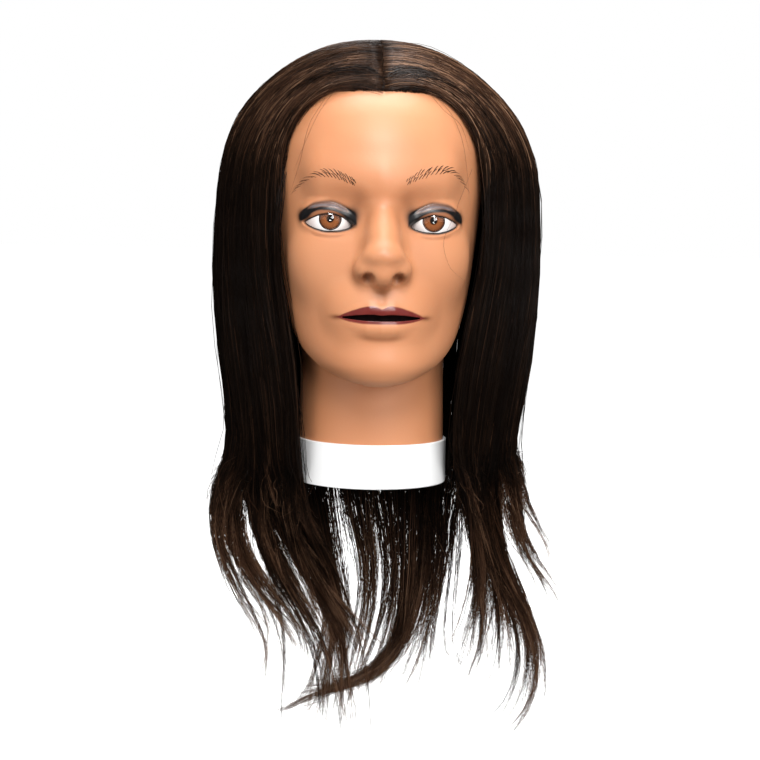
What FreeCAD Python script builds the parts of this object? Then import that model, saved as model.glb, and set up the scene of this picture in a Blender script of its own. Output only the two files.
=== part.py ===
import FreeCAD, Part
import os

# Mannequin training head for hairdressing: a soft vinyl skin over a rigid foam core, closed at the
# neck by a white moulded base cup with a socket for a table clamp or tripod, two set-in acrylic
# eyes, and long hair rooted through the scalp.
#
# Frame, in millimetres: the origin is the middle of the clamp socket's mouth, on the underside of
# the base cup. +Z is up, the face looks along -Y, and the head's own left side is at +X.

doc = FreeCAD.newDocument("training_head")

# ---------------------------------------------------------------- driving dimensions

SIZES = [
    # base cup, socket and screws
    ("collar_radius", 50.0, "outside of the white base cup"),
    ("collar_height", 28.5, "height of the cup's outer wall"),
    ("collar_wall", 2.0, "thickness of the cup's outer wall"),
    ("rim_round", 0.6, "rounding of the wall's two outer rims"),
    ("floor_thick", 3.2, "thickness of the cup's floor"),
    ("grip_height", 20.0, "height of the inner ring that grips the skin"),
    ("grip_wall", 2.4, "thickness of that ring"),
    ("rib_thick", 2.2, "thickness of the radial ribs"),
    ("rib_height", 12.0, "height of the ribs over the floor"),
    ("rib_count", 8, "number of ribs"),
    ("socket_bore", 11.0, "radius of the clamp socket"),
    ("socket_wall", 3.0, "wall of the socket tube"),
    ("socket_depth", 72.0, "length of the socket tube"),
    ("flange_radius", 22.0, "radius of the tube's flange"),
    ("flange_thick", 3.0, "thickness of the flange"),
    ("cap_thick", 2.5, "wall of the cap that closes the tube"),
    ("cap_skirt", 10.0, "length of the cap's skirt"),
    ("screw_count", 4, "number of screws"),
    ("screw_circle", 18.0, "radius of the circle of screws"),
    ("screw_radius", 1.5, "radius of a screw's shank"),
    ("screw_head", 3.0, "radius of a countersunk screw head"),
    ("screw_length", 11.0, "length of a screw"),
    ("boss_radius", 3.6, "radius of a screw boss on the flange"),
    ("boss_height", 10.0, "height of a screw boss over the flange"),
    ("fit_gap", 0.1, "gap between pieces that meet"),
    # skin, backing and foam
    ("skin_wall", 3.0, "thickness of the vinyl skin"),
    ("scalp_middle", 185.0, "height where the scalp's tilted lower edge crosses the axis"),
    ("backing_wall", 1.1, "thickness of the latex layer that locks the roots"),
    ("neck_radius", 47.9, "outside of the neck skin inside the cup"),
    ("neck_top", 118.0, "height where the neck ends inside the head"),
    ("neck_shift", 9.0, "how far back the neck's top stands from its base"),
    ("chin_height", 69.0, "underside of the chin"),
    ("crown_height", 279.0, "top of the skull"),
    ("head_width", 144.0, "width of the skull"),
    ("face_reach", 86.0, "how far the face stands forward of the axis"),
    ("back_reach", 104.0, "how far the back of the head stands behind the axis"),
    ("nose_tip", 106.5, "how far the nose stands forward of the axis"),
    ("nose_height", 146.0, "height of the tip of the nose"),
    ("nose_half", 15.5, "half the width across the nostrils"),
    ("lips_height", 111.7, "height of the line between the lips"),
    ("lips_half", 25.0, "half the width of the lips"),
    ("hollow_out", 29.0, "middle of the hollow round each eye, out from the middle"),
    ("hollow_front", 89.0, "middle of that hollow, in front of the axis"),
    ("hollow_height", 176.0, "height of that middle"),
    ("hollow_wide", 20.0, "half width of the hollow round each eye"),
    ("hollow_deep", 16.5, "half depth of the hollow round each eye"),
    ("hollow_tall", 13.0, "half height of the hollow round each eye"),
    ("nostril_out", 8.4, "middle of each nostril, out from the middle"),
    ("nostril_front", 95.0, "middle of each nostril, in front of the axis"),
    ("nostril_height", 134.4, "height of that middle"),
    ("nostril_wide", 3.6, "half width of each nostril"),
    ("nostril_deep", 8.0, "half depth of each nostril"),
    ("nostril_tall", 4.4, "half height of each nostril"),
    ("ear_height", 158.0, "height of the middle of the ear"),
    ("ear_length", 60.0, "length of the ear"),
    # eyes
    ("eye_radius", 17.0, "radius of the acrylic dome"),
    ("eye_out", 31.0, "distance of a dome's centre from the middle of the face"),
    ("eye_depth", 57.5, "distance of a dome's centre in front of the axis"),
    ("eye_height", 171.5, "height of the middle of the eyes"),
    ("lid_height", 169.3, "height of the middle of the lid openings"),
    ("eye_half_wide", 16.2, "half the width of a dome"),
    ("eye_half_tall", 11.0, "half the height of a dome"),
    ("eye_wall", 1.6, "thickness of a dome"),
    ("lid_wall", 1.6, "thickness of an eyelid over the dome"),
    ("lid_half_wide", 14.2, "half the width of the lid opening"),
    ("lid_half_tall", 5.2, "half the height of the lid opening"),
    ("iris_out", 31.9, "distance of an iris from the middle of the face"),
    ("iris_radius", 7.0, "radius of an iris"),
    ("iris_thick", 0.6, "thickness of an iris disc"),
    ("iris_sunk", 0.6, "how far an iris lies behind the front of the dome's inner surface"),
    ("pupil_radius", 2.2, "radius of a pupil"),
    ("cornea_radius", 10.0, "radius of the clear cornea's dome"),
    ("cornea_rise", 2.8, "how far the cornea stands over the iris"),
    # hair
    ("hair_width", 218.0, "width of the hair at the ears"),
    ("hair_top", 291.0, "top of the hair"),
    ("hair_front", 70.0, "how far the front hair stands forward of the axis"),
    ("hair_back", 122.0, "how far the back hair stands behind the axis"),
    ("hair_even", -20.0, "height where the full body of the hair starts to thin into locks"),
    ("hair_fall", -187.0, "lowest tip of the hair"),
    ("hair_clear", 0.6, "gap between the hair and the skin"),
    ("panel_gap", 0.5, "gap between two panels of hair"),
    ("part_front", -12.0, "where the front panels end and the side panels start"),
    ("part_back", 48.0, "where the side panels end and the back panels start"),
    ("post_clear", 52.0, "radius kept clear of hair under the base, for the clamp's post"),
]

sheet = doc.addObject("Spreadsheet::Sheet", "sizes")
for row, (alias, value, note) in enumerate(SIZES, start=1):
    sheet.set(f"A{row}", note)
    sheet.set(f"B{row}", str(value))
    sheet.setAlias(f"B{row}", alias)
doc.recompute()

LEFT, RIGHT = 1, -1
SIDE_NAMES = {LEFT: "left", RIGHT: "right"}
FAR = 400  # longer than the head every way, for blocks that only divide space
PAST = 1  # how far a cutting solid runs past the faces that it cuts


# ---------------------------------------------------------------- small helpers


def bound(text):
    """An expression in which every word that is a size's alias reads its cell."""
    words = {alias for alias, _, _ in SIZES}
    out, word = "", ""
    for letter in str(text) + " ":
        if letter.isalpha() or letter == "_":
            word += letter
            continue
        out += f"sizes.{word}" if word in words else word
        out += letter
        word = ""
    return out.strip()


def drive(obj, **expressions):
    """Binds properties to expressions over the sheet's cells; at_x, at_y and at_z place the object."""
    places = {"at_x": "Placement.Base.x", "at_y": "Placement.Base.y", "at_z": "Placement.Base.z"}
    for name, text in expressions.items():
        obj.setExpression(places.get(name, name), bound(text))
    return obj


def cylinder(name, radius, height, at_z="0", at_x="0", at_y="0", turn=None):
    obj = doc.addObject("Part::Cylinder", name)
    if turn:
        obj.Placement = FreeCAD.Placement(FreeCAD.Vector(), turn)
    return drive(obj, Radius=radius, Height=height, at_x=at_x, at_y=at_y, at_z=at_z)


def sphere(name, radius, at_x, at_y, at_z):
    obj = doc.addObject("Part::Sphere", name)
    return drive(obj, Radius=radius, at_x=at_x, at_y=at_y, at_z=at_z)


def ellipsoid(name, along_x, along_y, along_z, at_x, at_y, at_z):
    obj = doc.addObject("Part::Ellipsoid", name)
    drive(obj, Radius1=along_z, Radius2=along_x, Radius3=along_y)
    return drive(obj, at_x=at_x, at_y=at_y, at_z=at_z)


def block(name, low, high):
    """A box between two corners, each given as three expressions."""
    obj = doc.addObject("Part::Box", name)
    spans = [f"({b}) - ({a})" for a, b in zip(low, high)]
    drive(obj, Length=spans[0], Width=spans[1], Height=spans[2])
    return drive(obj, at_x=low[0], at_y=low[1], at_z=low[2])


def joined(kind, name, **links):
    """A boolean of other objects, its faces left as they meet: merging the lofts' faces fails."""
    obj = doc.addObject(kind, name)
    obj.Refine = False
    for link, value in links.items():
        setattr(obj, link, value)
    return obj


def cut(name, base, tool):
    return joined("Part::Cut", name, Base=base, Tool=tool)


def common(name, one, other):
    return joined("Part::Common", name, Base=one, Tool=other)


def fuse(name, *pieces):
    return joined("Part::MultiFuse", name, Shapes=list(pieces))


def ring_loft(name, levels, grow="0", deep=True):
    """A solid through flat ellipses, one a level: (height, half width, front y, back y, middle x).

    Every ellipse's long axis runs along Y, or along X where deep is False, so the surface has no twist."""
    along_y = FreeCAD.Rotation(FreeCAD.Vector(0, 0, 1), 90)
    rings = []
    for i, (height, half, front, back, *middle) in enumerate(levels):
        ring = doc.addObject("Part::Ellipse", f"{name}_ring_{i}")
        if deep:
            ring.Placement = FreeCAD.Placement(FreeCAD.Vector(), along_y)
        reach = f"(({back}) - ({front})) / 2 + ({grow})"
        wide = f"({half}) + ({grow})"
        drive(
            ring,
            MajorRadius=reach if deep else wide,
            MinorRadius=wide if deep else reach,
            at_x=middle[0] if middle else "0",
            at_y=f"(({back}) + ({front})) / 2",
            at_z=height,
        )
        rings.append(ring)
    obj = doc.addObject("Part::Loft", name)
    obj.Sections, obj.Solid, obj.Ruled = rings, True, False
    return obj


# ---------------------------------------------------------------- forms that several pieces share

# The skull and face as level rings. Each row: share of the way from chin to crown, then the half
# width, the front and the back as shares of half the head's width, the face's and the back's reach.
HEAD_RINGS = [
    (0.000, 0.12, 0.90, -0.54),
    (0.024, 0.375, 0.97, -0.24),
    (0.062, 0.555, 1.00, -0.02),
    (0.110, 0.68, 0.995, 0.25),
    (0.180, 0.785, 1.00, 0.58),
    (0.290, 0.87, 1.00, 0.83),
    (0.385, 0.917, 0.985, 0.93),
    (0.480, 0.958, 0.965, 0.98),
    (0.576, 0.99, 0.985, 1.00),
    (0.695, 1.00, 0.965, 0.97),
    (0.790, 0.94, 0.86, 0.885),
    (0.886, 0.765, 0.65, 0.69),
    (0.948, 0.53, 0.385, 0.48),
    (0.990, 0.21, 0.11, 0.26),
]


def head_form(name, grow="0"):
    """The head without the neck. A negative grow gives the form that much further in on every side."""
    levels = [
        (
            f"chin_height - ({grow}) + {up} * (crown_height - chin_height + 2 * ({grow}))",
            f"{half} * head_width / 2",
            f"-{front} * face_reach",
            f"{back} * back_reach",
        )
        for up, half, front, back in HEAD_RINGS
    ]
    return ring_loft(name, levels, grow)


def neck_form(name, grow, foot="floor_thick + fit_gap"):
    """The neck, which leans back a little as it rises into the head."""
    levels = [
        (foot, "neck_radius", "-neck_radius", "neck_radius"),
        ("collar_height + 2", "neck_radius", "-neck_radius", "neck_radius + 0.2"),
        ("neck_top / 2 + 10", "neck_radius - 0.6", "-neck_radius + 1", "neck_radius + neck_shift / 2"),
        ("neck_top", "neck_radius + 2", "-neck_radius + neck_shift", "neck_radius + 2 * neck_shift"),
    ]
    return ring_loft(name, levels, grow)


# The nose as level rings: height over the tip, then the half width and the way out from the face to
# the tip as shares.
NOSE_RINGS = [
    (34, 0.36, 0.0),
    (18, 0.52, 0.42),
    (4, 0.82, 0.94),
    (-5, 1.0, 0.97),
    (-14, 0.85, 0.35),
    (-18, 0.55, 0.05),
]


def nose_form(name, grow):
    levels = [
        (
            f"nose_height + {up}" + (f" - ({grow})" if up < 0 else ""),
            f"{half} * nose_half",
            f"-face_reach * 0.95 - {out} * (nose_tip - face_reach * 0.95)",
            "-face_reach * 0.95 + 34",
        )
        for up, half, out in NOSE_RINGS
    ]
    return ring_loft(name, levels, grow)


def lips_form(name, grow):
    """The fullness of both lips."""
    radii = [f"{size} + ({grow})" for size in ("lips_half", "8", "7")]
    return ellipsoid(name, *radii, "0", "-face_reach + 1.5", "lips_height")


def face_hollows(name, grow):
    """The hollow round each eye and the two nostrils."""
    shapes = []
    for side in (LEFT, RIGHT):
        for part, out, *place in (
            ("hollow", "hollow_out", "-hollow_front", "hollow_height"),
            ("nostril", "nostril_out", "-nostril_front", "nostril_height"),
        ):
            radii = [f"{part}_{way} - ({grow})" for way in ("wide", "deep", "tall")]
            tag = f"{name}_{part}_{SIDE_NAMES[side]}"
            shapes.append(ellipsoid(tag, *radii, f"{side} * {out}", *place))
    return fuse(name, *shapes)


def whole_form(name, grow="0", foot="floor_thick + fit_gap"):
    """The head with its nose and lips, less the hollows of the face, and the neck."""
    solid = fuse(
        name + "_solid",
        head_form(name + "_head", grow),
        neck_form(name + "_neck", grow, foot),
        nose_form(name + "_nose", grow),
        lips_form(name + "_lips", grow),
    )
    return cut(name, solid, face_hollows(name + "_hollows", grow))


def scalp_side():
    """A tilted half space over and behind the hairline: from the forehead down to the nape."""
    obj = doc.addObject("Part::Box", "scalp_side")
    tilt = FreeCAD.Rotation(FreeCAD.Vector(1, 0, 0), -38)
    obj.Placement = FreeCAD.Placement(FreeCAD.Vector(), tilt)
    corner = tilt.multVec(FreeCAD.Vector(-FAR / 2, -FAR / 2, 0))
    drive(obj, Length=str(FAR), Width=str(FAR), Height=str(FAR / 2))
    return drive(obj, at_x=str(corner.x), at_y=str(corner.y), at_z=f"scalp_middle + {corner.z}")


# ---------------------------------------------------------------- base cup, socket and screws


def ring(name, outer, inner, low, high):
    """A plain tube between two heights."""
    body = cylinder(name + "_solid", outer, f"({high}) - ({low})", at_z=low)
    hole = cylinder(name + "_hole", inner, f"({high}) - ({low}) + 2 * {PAST}", at_z=f"({low}) - {PAST}")
    return cut(name, body, hole)


def rib(name, turn):
    """One radial rib of the cup, turned about the cup's axis and sunk a little into its floor."""
    near, half, sunk = "(flange_radius + 1)", "(rib_thick / 2)", 0.5
    obj = doc.addObject("Part::Box", name)
    obj.Placement = FreeCAD.Placement(FreeCAD.Vector(), FreeCAD.Rotation(FreeCAD.Vector(0, 0, 1), turn))
    drive(
        obj,
        Length=f"collar_radius - collar_wall - skin_wall - grip_wall - {near}",
        Width="rib_thick",
        Height=f"rib_height + {sunk}",
    )
    return drive(
        obj,
        at_x=f"{near} * cos({turn} deg) + {half} * sin({turn} deg)",
        at_y=f"{near} * sin({turn} deg) - {half} * cos({turn} deg)",
        at_z=f"floor_thick - {sunk}",
    )


def screw_places():
    """(x, y) of each screw as expressions, on the diagonals of the screw circle."""
    step = 360 / sheet.screw_count
    angles = [step * (i + 0.5) for i in range(int(sheet.screw_count))]
    return [(f"screw_circle * cos({a} deg)", f"screw_circle * sin({a} deg)") for a in angles]


def screw(name, x, y, grow):
    """A countersunk screw, head down and flush with the cup's underside."""
    head = doc.addObject("Part::Cone", name + "_head")
    drive(
        head,
        Radius1=f"screw_head + {grow}",
        Radius2=f"screw_radius + {grow}",
        Height="screw_head - screw_radius",
        at_x=x,
        at_y=y,
    )
    shank = cylinder(name + "_shank", f"screw_radius + {grow}", "screw_length", at_x=x, at_y=y)
    return fuse(name, head, shank)


def screws(name, grow="0"):
    """All the screws as one object, or with a little grow, the holes that take them."""
    return fuse(name, *[screw(f"{name}_{i}", x, y, grow) for i, (x, y) in enumerate(screw_places())])


def base_cup():
    """The white cup: outer wall, floor, the inner ring that grips the skin, and radial ribs."""
    wall = ring("cup_wall", "collar_radius", "collar_radius - collar_wall", "0", "collar_height")
    grip_outer = "collar_radius - collar_wall - skin_wall - 2 * fit_gap"
    grip = ring("cup_grip", grip_outer, f"{grip_outer} - grip_wall", "0", "grip_height")
    floor_inner = "socket_bore + socket_wall + fit_gap"
    floor = ring("cup_floor", "collar_radius - collar_wall / 2", floor_inner, "0", "floor_thick")
    count = int(sheet.rib_count)
    ribs = [rib(f"cup_rib_{i}", 360 / count * i) for i in range(count)]
    solid = fuse("cup_solid", wall, grip, floor, *ribs)
    rounded = doc.addObject("Part::Fillet", "cup_rounded")
    rounded.Base = solid
    doc.recompute()
    rim = [
        i
        for i, edge in enumerate(solid.Shape.Edges, start=1)
        if isinstance(edge.Curve, Part.Circle)
        and abs(edge.Curve.Radius - sheet.collar_radius) < 0.01
        and (abs(edge.Curve.Center.z) < 0.01 or abs(edge.Curve.Center.z - sheet.collar_height) < 0.01)
    ]
    rounded.Edges = [(i, sheet.rim_round, sheet.rim_round) for i in rim]
    return cut("base_cup", rounded, screws("cup_screw_holes", "fit_gap"))


def socket_tube():
    """The tube that takes the clamp's post, with a flange over the cup's floor and four screw bosses."""
    outer = "socket_bore + socket_wall"
    tube = cylinder("tube_solid", outer, "socket_depth")
    flange = cylinder("tube_flange", "flange_radius", "flange_thick", at_z="floor_thick")
    bosses = [
        cylinder(f"tube_boss_{i}", "boss_radius", "boss_height", at_x=x, at_y=y, at_z="floor_thick")
        for i, (x, y) in enumerate(screw_places())
    ]
    solid = fuse("tube_outside", tube, flange, *bosses)
    bore = cylinder("tube_bore", "socket_bore", f"socket_depth + 2 * {PAST}", at_z=f"-{PAST}")
    return cut("socket_tube", cut("tube_bored", solid, bore), screws("tube_screw_holes"))


def socket_cap():
    """A moulded cap that closes the top of the tube, so that no foam runs into the socket."""
    tube_outer, foot = "socket_bore + socket_wall", "socket_depth - cap_skirt"
    solid = cylinder("cap_solid", f"{tube_outer} + cap_thick", "cap_skirt + cap_thick", at_z=foot)
    room = f"{tube_outer} + fit_gap / 2"
    hollow = cylinder("cap_hollow", room, f"cap_skirt + {PAST}", at_z=f"{foot} - {PAST}")
    return cut("socket_cap", solid, hollow)


# ---------------------------------------------------------------- eyes


def eye_ball(name, side, radius):
    return sphere(name, radius, f"{side} * eye_out", "-eye_depth", "eye_height")


def front_rod(name, radius, at_x, reach, back="-eye_depth"):
    """A round rod along -Y, for holes and discs in the eyes."""
    turn = FreeCAD.Rotation(FreeCAD.Vector(1, 0, 0), 90)
    return cylinder(name, radius, reach, at_x=at_x, at_y=back, at_z="eye_height", turn=turn)


def front_oval(name, half_wide, half_tall, at_x, at_z, front, back):
    """An oval bar along Y between two depths: the outline of a dome or of a lid opening."""
    turn = FreeCAD.Rotation(FreeCAD.Vector(1, 0, 0), 90)
    rim = doc.addObject("Part::Ellipse", name + "_rim")
    rim.Placement = FreeCAD.Placement(FreeCAD.Vector(), turn)
    drive(rim, MajorRadius=half_wide, MinorRadius=half_tall, at_x=at_x, at_y=back, at_z=at_z)
    bar = doc.addObject("Part::Extrusion", name)
    bar.Base, bar.DirMode, bar.Dir, bar.Solid = rim, "Custom", FreeCAD.Vector(0, -1, 0), True
    return drive(bar, LengthFwd=f"({back}) - ({front})")


def eye_dome(side):
    """The white acrylic dome: a thin oval cap of a sphere with a round hole for the iris."""
    tag = SIDE_NAMES[side] + "_eye"
    shell = cut(
        tag + "_shell",
        eye_ball(tag + "_outside", side, "eye_radius"),
        eye_ball(tag + "_inside", side, "eye_radius - eye_wall"),
    )
    middle, front = f"{side} * eye_out", "-eye_depth - 2 * eye_radius"
    outline = front_oval(
        tag + "_outline", "eye_half_wide", "eye_half_tall", middle, "eye_height", front, "-eye_depth - 3"
    )
    hole = front_rod(tag + "_iris_hole", "iris_radius + 0.05", f"{side} * iris_out", "2 * eye_radius")
    return cut(f"{SIDE_NAMES[side]}_eye_dome", common(tag + "_cap", shell, outline), hole)


def iris_face():
    """How far in front of the axis an iris's front face lies."""
    return "(eye_depth + eye_radius - eye_wall - iris_sunk)"


def iris(side):
    """The coloured disc behind the cornea, with the pupil's hole."""
    tag = SIDE_NAMES[side] + "_iris"
    back = f"-{iris_face()} + iris_thick"
    middle = f"{side} * iris_out"
    disc = front_rod(tag + "_disc", "iris_radius", middle, "iris_thick", back)
    hole_length, hole_back = f"iris_thick + 2 * {PAST}", f"{back} + {PAST}"
    hole = front_rod(tag + "_hole", "pupil_radius + 0.02", middle, hole_length, hole_back)
    return cut(tag, disc, hole)


def pupil(side):
    back = f"-{iris_face()} + iris_thick + 0.4"
    return front_rod(
        SIDE_NAMES[side] + "_pupil", "pupil_radius", f"{side} * iris_out", "iris_thick + 0.4", back
    )


def cornea(side):
    """The clear lens over the iris: flat behind, domed in front."""
    tag = SIDE_NAMES[side] + "_cornea"
    dome = sphere(
        tag + "_dome",
        "cornea_radius",
        f"{side} * iris_out",
        f"-{iris_face()} - cornea_rise + cornea_radius",
        "eye_height",
    )
    back = f"-{iris_face()} - 0.02"
    rod = front_rod(tag + "_rod", "iris_radius - 0.05", f"{side} * iris_out", "eye_radius", back)
    return common(tag, dome, rod)


# ---------------------------------------------------------------- skin, backing and foam

def ear_form(side, tag="", grow="0"):
    return ellipsoid(
        f"{tag}ear_{SIDE_NAMES[side]}",
        f"9 + {grow}",
        f"15 + {grow}",
        f"ear_length / 2 + {grow}",
        f"{side} * (head_width / 2 - 3)",
        "14",
        "ear_height",
    )


def lid_form(side):
    return eye_ball(f"lid_{SIDE_NAMES[side]}", side, "eye_radius + lid_wall")


def vinyl_skin():
    """The soft skin: face, ears, scalp and neck in one hollow casting, open at the foot and at the lids."""
    outside = fuse(
        "skin_outside",
        whole_form("skin_form"),
        *[ear_form(side) for side in (LEFT, RIGHT)],
        *[lid_form(side) for side in (LEFT, RIGHT)],
    )
    hollow = whole_form("skin_hollow", "-skin_wall", f"floor_thick + fit_gap - {PAST}")
    hollowed = cut("skin_hollowed", outside, hollow)
    openings = []
    for side in (LEFT, RIGHT):
        tag = SIDE_NAMES[side]
        middle, front = f"{side} * (iris_out + 0.6)", "-eye_depth - 3 * eye_radius"
        openings.append(eye_ball(f"skin_socket_{tag}", side, "eye_radius + fit_gap"))
        lids = front_oval(
            f"skin_lid_{tag}", "lid_half_wide", "lid_half_tall", middle, "lid_height", front, "-eye_depth"
        )
        openings.append(lids)
    return cut("vinyl_skin", hollowed, fuse("skin_openings", *openings))


def scalp_backing():
    """The latex layer inside the scalp that locks the hair's roots. It stops short of the neck."""
    band = cut(
        "backing_band",
        head_form("backing_outside", "-skin_wall - fit_gap / 2"),
        head_form("backing_inside", "-skin_wall - backing_wall"),
    )
    region = common("backing_region", band, scalp_side())
    return cut("scalp_backing", region, neck_form("backing_neck_room", "0.5"))


def foam_core(backing):
    """The rigid foam that fills the skin, with room for the tube, its cap, the cup's ring and the eyes."""
    filled = whole_form("foam_filled", "-skin_wall - fit_gap", "grip_height + 0.5")
    tube_room = "socket_bore + socket_wall + cap_thick + fit_gap"
    eye_room = "eye_radius + fit_gap"
    room = [cylinder("foam_room_tube", tube_room, "socket_depth + cap_thick + fit_gap"), backing]
    for side in (LEFT, RIGHT):
        tag = SIDE_NAMES[side]
        room.append(eye_ball(f"foam_room_{tag}", side, eye_room))
        room.append(front_rod(f"foam_way_in_{tag}", eye_room, f"{side} * eye_out", "3 * eye_radius"))
    core = filled
    for number, space in enumerate(room, 1):
        core = cut("foam_core" if number == len(room) else f"foam_less_{number}", core, space)
    return core


# ---------------------------------------------------------------- hair

# The hair's outer surface as level rings: the share of the way from where its body ends up to its
# top, the half width as a share of half the hair's width, and the front and the back as shares of
# the front and back hair's reach.
HAIR_RINGS = [
    (0.000, 0.99, 0.70, 0.85),
    (0.055, 0.975, 0.70, 0.87),
    (0.119, 0.965, 0.70, 0.885),
    (0.193, 0.965, 0.714, 0.91),
    (0.289, 0.98, 0.757, 0.943),
    (0.402, 0.995, 0.786, 0.975),
    (0.508, 1.00, 0.83, 1.00),
    (0.595, 0.99, 0.857, 1.00),
    (0.675, 0.975, 0.915, 0.992),
    (0.752, 0.935, 0.985, 0.967),
    (0.823, 0.86, 0.98, 0.92),
    (0.881, 0.76, 0.885, 0.81),
    (0.926, 0.63, 0.73, 0.68),
    (0.961, 0.50, 0.54, 0.54),
    (0.987, 0.33, 0.29, 0.36),
    (0.998, 0.12, 0.00, 0.17),
]

# The opening that the hair leaves for the face: height and half width, from the throat up.
FACE_WINDOW = [
    (-60, 50.5),
    (60, 50.5),
    (92, 50.5),
    (105, 56),
    (119, 59.5),
    (134, 62),
    (158, 63.5),
    (182, 62.5),
    (205, 59.5),
    (226, 54.5),
    (239, 47.5),
    (247, 36),
    (250, 18),
]


def hair_envelope():
    """Everything inside the hair's outer surface, down to where its body ends."""
    levels = [
        (
            f"hair_even + {up} * (hair_top - hair_even)",
            f"{half} * hair_width / 2",
            f"-{front} * hair_front",
            f"{back} * hair_back",
        )
        for up, half, front, back in HAIR_RINGS
    ]
    return ring_loft("hair_envelope", levels, deep=False)


def face_window():
    """A bar along -Y with the outline of the face's opening."""
    half = [FreeCAD.Vector(x, 0, z) for z, x in FACE_WINDOW]
    mirrored = [FreeCAD.Vector(-p.x, 0, p.z) for p in reversed(half)]
    curve = Part.BSplineCurve()
    curve.interpolate(half + mirrored)
    foot = Part.LineSegment(mirrored[-1], half[0])
    outline = doc.addObject("Part::Feature", "face_outline")
    outline.Shape = Part.Wire([curve.toShape(), foot.toShape()])
    window = doc.addObject("Part::Extrusion", "face_window")
    window.Base, window.DirMode, window.Dir, window.Solid = outline, "Custom", FreeCAD.Vector(0, -1, 0), True
    return drive(window, LengthFwd="2 * face_reach")


def hair_body():
    """All the hair's volume outside the head, the ears, the neck, the face and the post's room."""
    body = hair_envelope()
    room = [
        whole_form("hair_room_form", "hair_clear"),
        *[ear_form(side, "room_", "hair_clear") for side in (LEFT, RIGHT)],
        face_window(),
        cylinder("hair_room_post", "post_clear", f"{FAR}", at_z=f"collar_height + 4 - {FAR}"),
    ]
    for i, solid in enumerate(room):
        body = cut(f"hair_body_{i}", body, solid)
    return body


def panel(name, body, side, front, back):
    """One panel of the hair: the slice between two depths on one side of the centre parting."""
    near, far = "panel_gap / 2", str(FAR)
    low_x, high_x = (near, far) if side == LEFT else (f"-{far}", f"-{near}")
    region = block(name + "_slice", (low_x, front, f"-{far}"), (high_x, back, far))
    return common(name, body, region)


def hair_panels(body):
    slices = {
        "front": (f"-{FAR}", "part_front - panel_gap / 2"),
        "side": ("part_front + panel_gap / 2", "part_back - panel_gap / 2"),
        "back": ("part_back + panel_gap / 2", str(FAR)),
    }
    return [
        panel(f"hair_{place}_{SIDE_NAMES[side]}", body, side, front, back)
        for place, (front, back) in slices.items()
        for side in (LEFT, RIGHT)
    ]


# The long ends that hang under the body of the hair. Each level: the share of the way down from the
# body's end to the lowest tip, the middle's x and y, and half the lock's width and thickness.
LOCKS = {
    "lock_right_outer": [
        (0, -86, 32, 21, 14),
        (0.14, -80, 34, 20, 12),
        (0.30, -66, 38, 14, 8),
        (0.47, -50, 42, 7, 5),
    ],
    "lock_right_inner": [
        (0, -46, 58, 17, 14),
        (0.27, -44, 60, 14, 11),
        (0.60, -34, 62, 9, 7),
        (1, -30, 62, 4, 3),
    ],
    "lock_middle": [
        (0, 2, 72, 26, 16),
        (0.27, 12, 72, 20, 13),
        (0.57, 14, 70, 15, 10),
        (0.75, 4, 68, 13, 8),
        (0.88, -18, 66, 11, 5),
    ],
    "lock_left_inner": [
        (0, 42, 66, 12, 12),
        (0.24, 40, 68, 8, 8),
        (0.51, 34, 68, 4, 4),
    ],
    "lock_left_outer": [
        (0, 84, 36, 24, 14),
        (0.18, 92, 38, 16, 10),
        (0.36, 104, 42, 8, 5),
        (0.48, 118, 44, 5, 3),
    ],
    "lock_left_long": [
        (0, 66, 64, 14, 11),
        (0.24, 74, 62, 10, 8),
        (0.48, 92, 60, 6, 5),
        (0.72, 102, 60, 4, 3),
        (0.90, 92, 60, 3, 2),
    ],
}


def lock(name, levels):
    """A tapering bundle of hair that starts just under the panels."""
    top = "hair_even - panel_gap"
    rings = [
        (f"{top} - {down} * ({top} - hair_fall)", str(half), f"{y} - {thick}", f"{y} + {thick}", str(x))
        for down, x, y, half, thick in levels
    ]
    return ring_loft(name, rings, deep=False)


# ---------------------------------------------------------------- build, check and write


def assemble():
    pieces = [base_cup(), socket_tube(), socket_cap(), screws("base_screws")]
    for side in (LEFT, RIGHT):
        pieces += [eye_dome(side), iris(side), pupil(side), cornea(side)]
    backing = scalp_backing()
    pieces += [vinyl_skin(), backing, foam_core(backing.Base)]
    pieces += hair_panels(hair_body())
    pieces += [lock(name, levels) for name, levels in LOCKS.items()]
    doc.recompute()
    return pieces


def write(pieces):
    bad = [obj.Name for obj in doc.Objects if {"Invalid", "Error"} & set(obj.State)]
    if bad:
        raise RuntimeError(f"these objects failed: {bad}")
    os.makedirs("parts", exist_ok=True)
    for old in os.listdir("parts"):
        os.remove(os.path.join("parts", old))
    for piece in pieces:
        piece.Label = piece.Name
        shape = piece.Shape
        if shape.isNull() or not shape.isValid() or not shape.Solids:
            raise RuntimeError(f"{piece.Name} has no valid solid")
        print(f"{piece.Name:20s} solids {len(shape.Solids)}  {shape.Volume / 1000:9.2f} cm3")
        shape.exportStep(os.path.join("parts", piece.Label + ".step"))


write(assemble())
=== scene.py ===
"""The looks of a mannequin training head: a vinyl face and neck, set-in eyes, painted make-up, long
dark hair and a white base cup.

Sizes in the tables are millimetres in the part's frame (+X the head's left, -Y the way it faces, +Z up)
and become metres when a mesh is made.
"""
import math

import bpy
import numpy as np
from mathutils import Matrix, Vector


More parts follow.
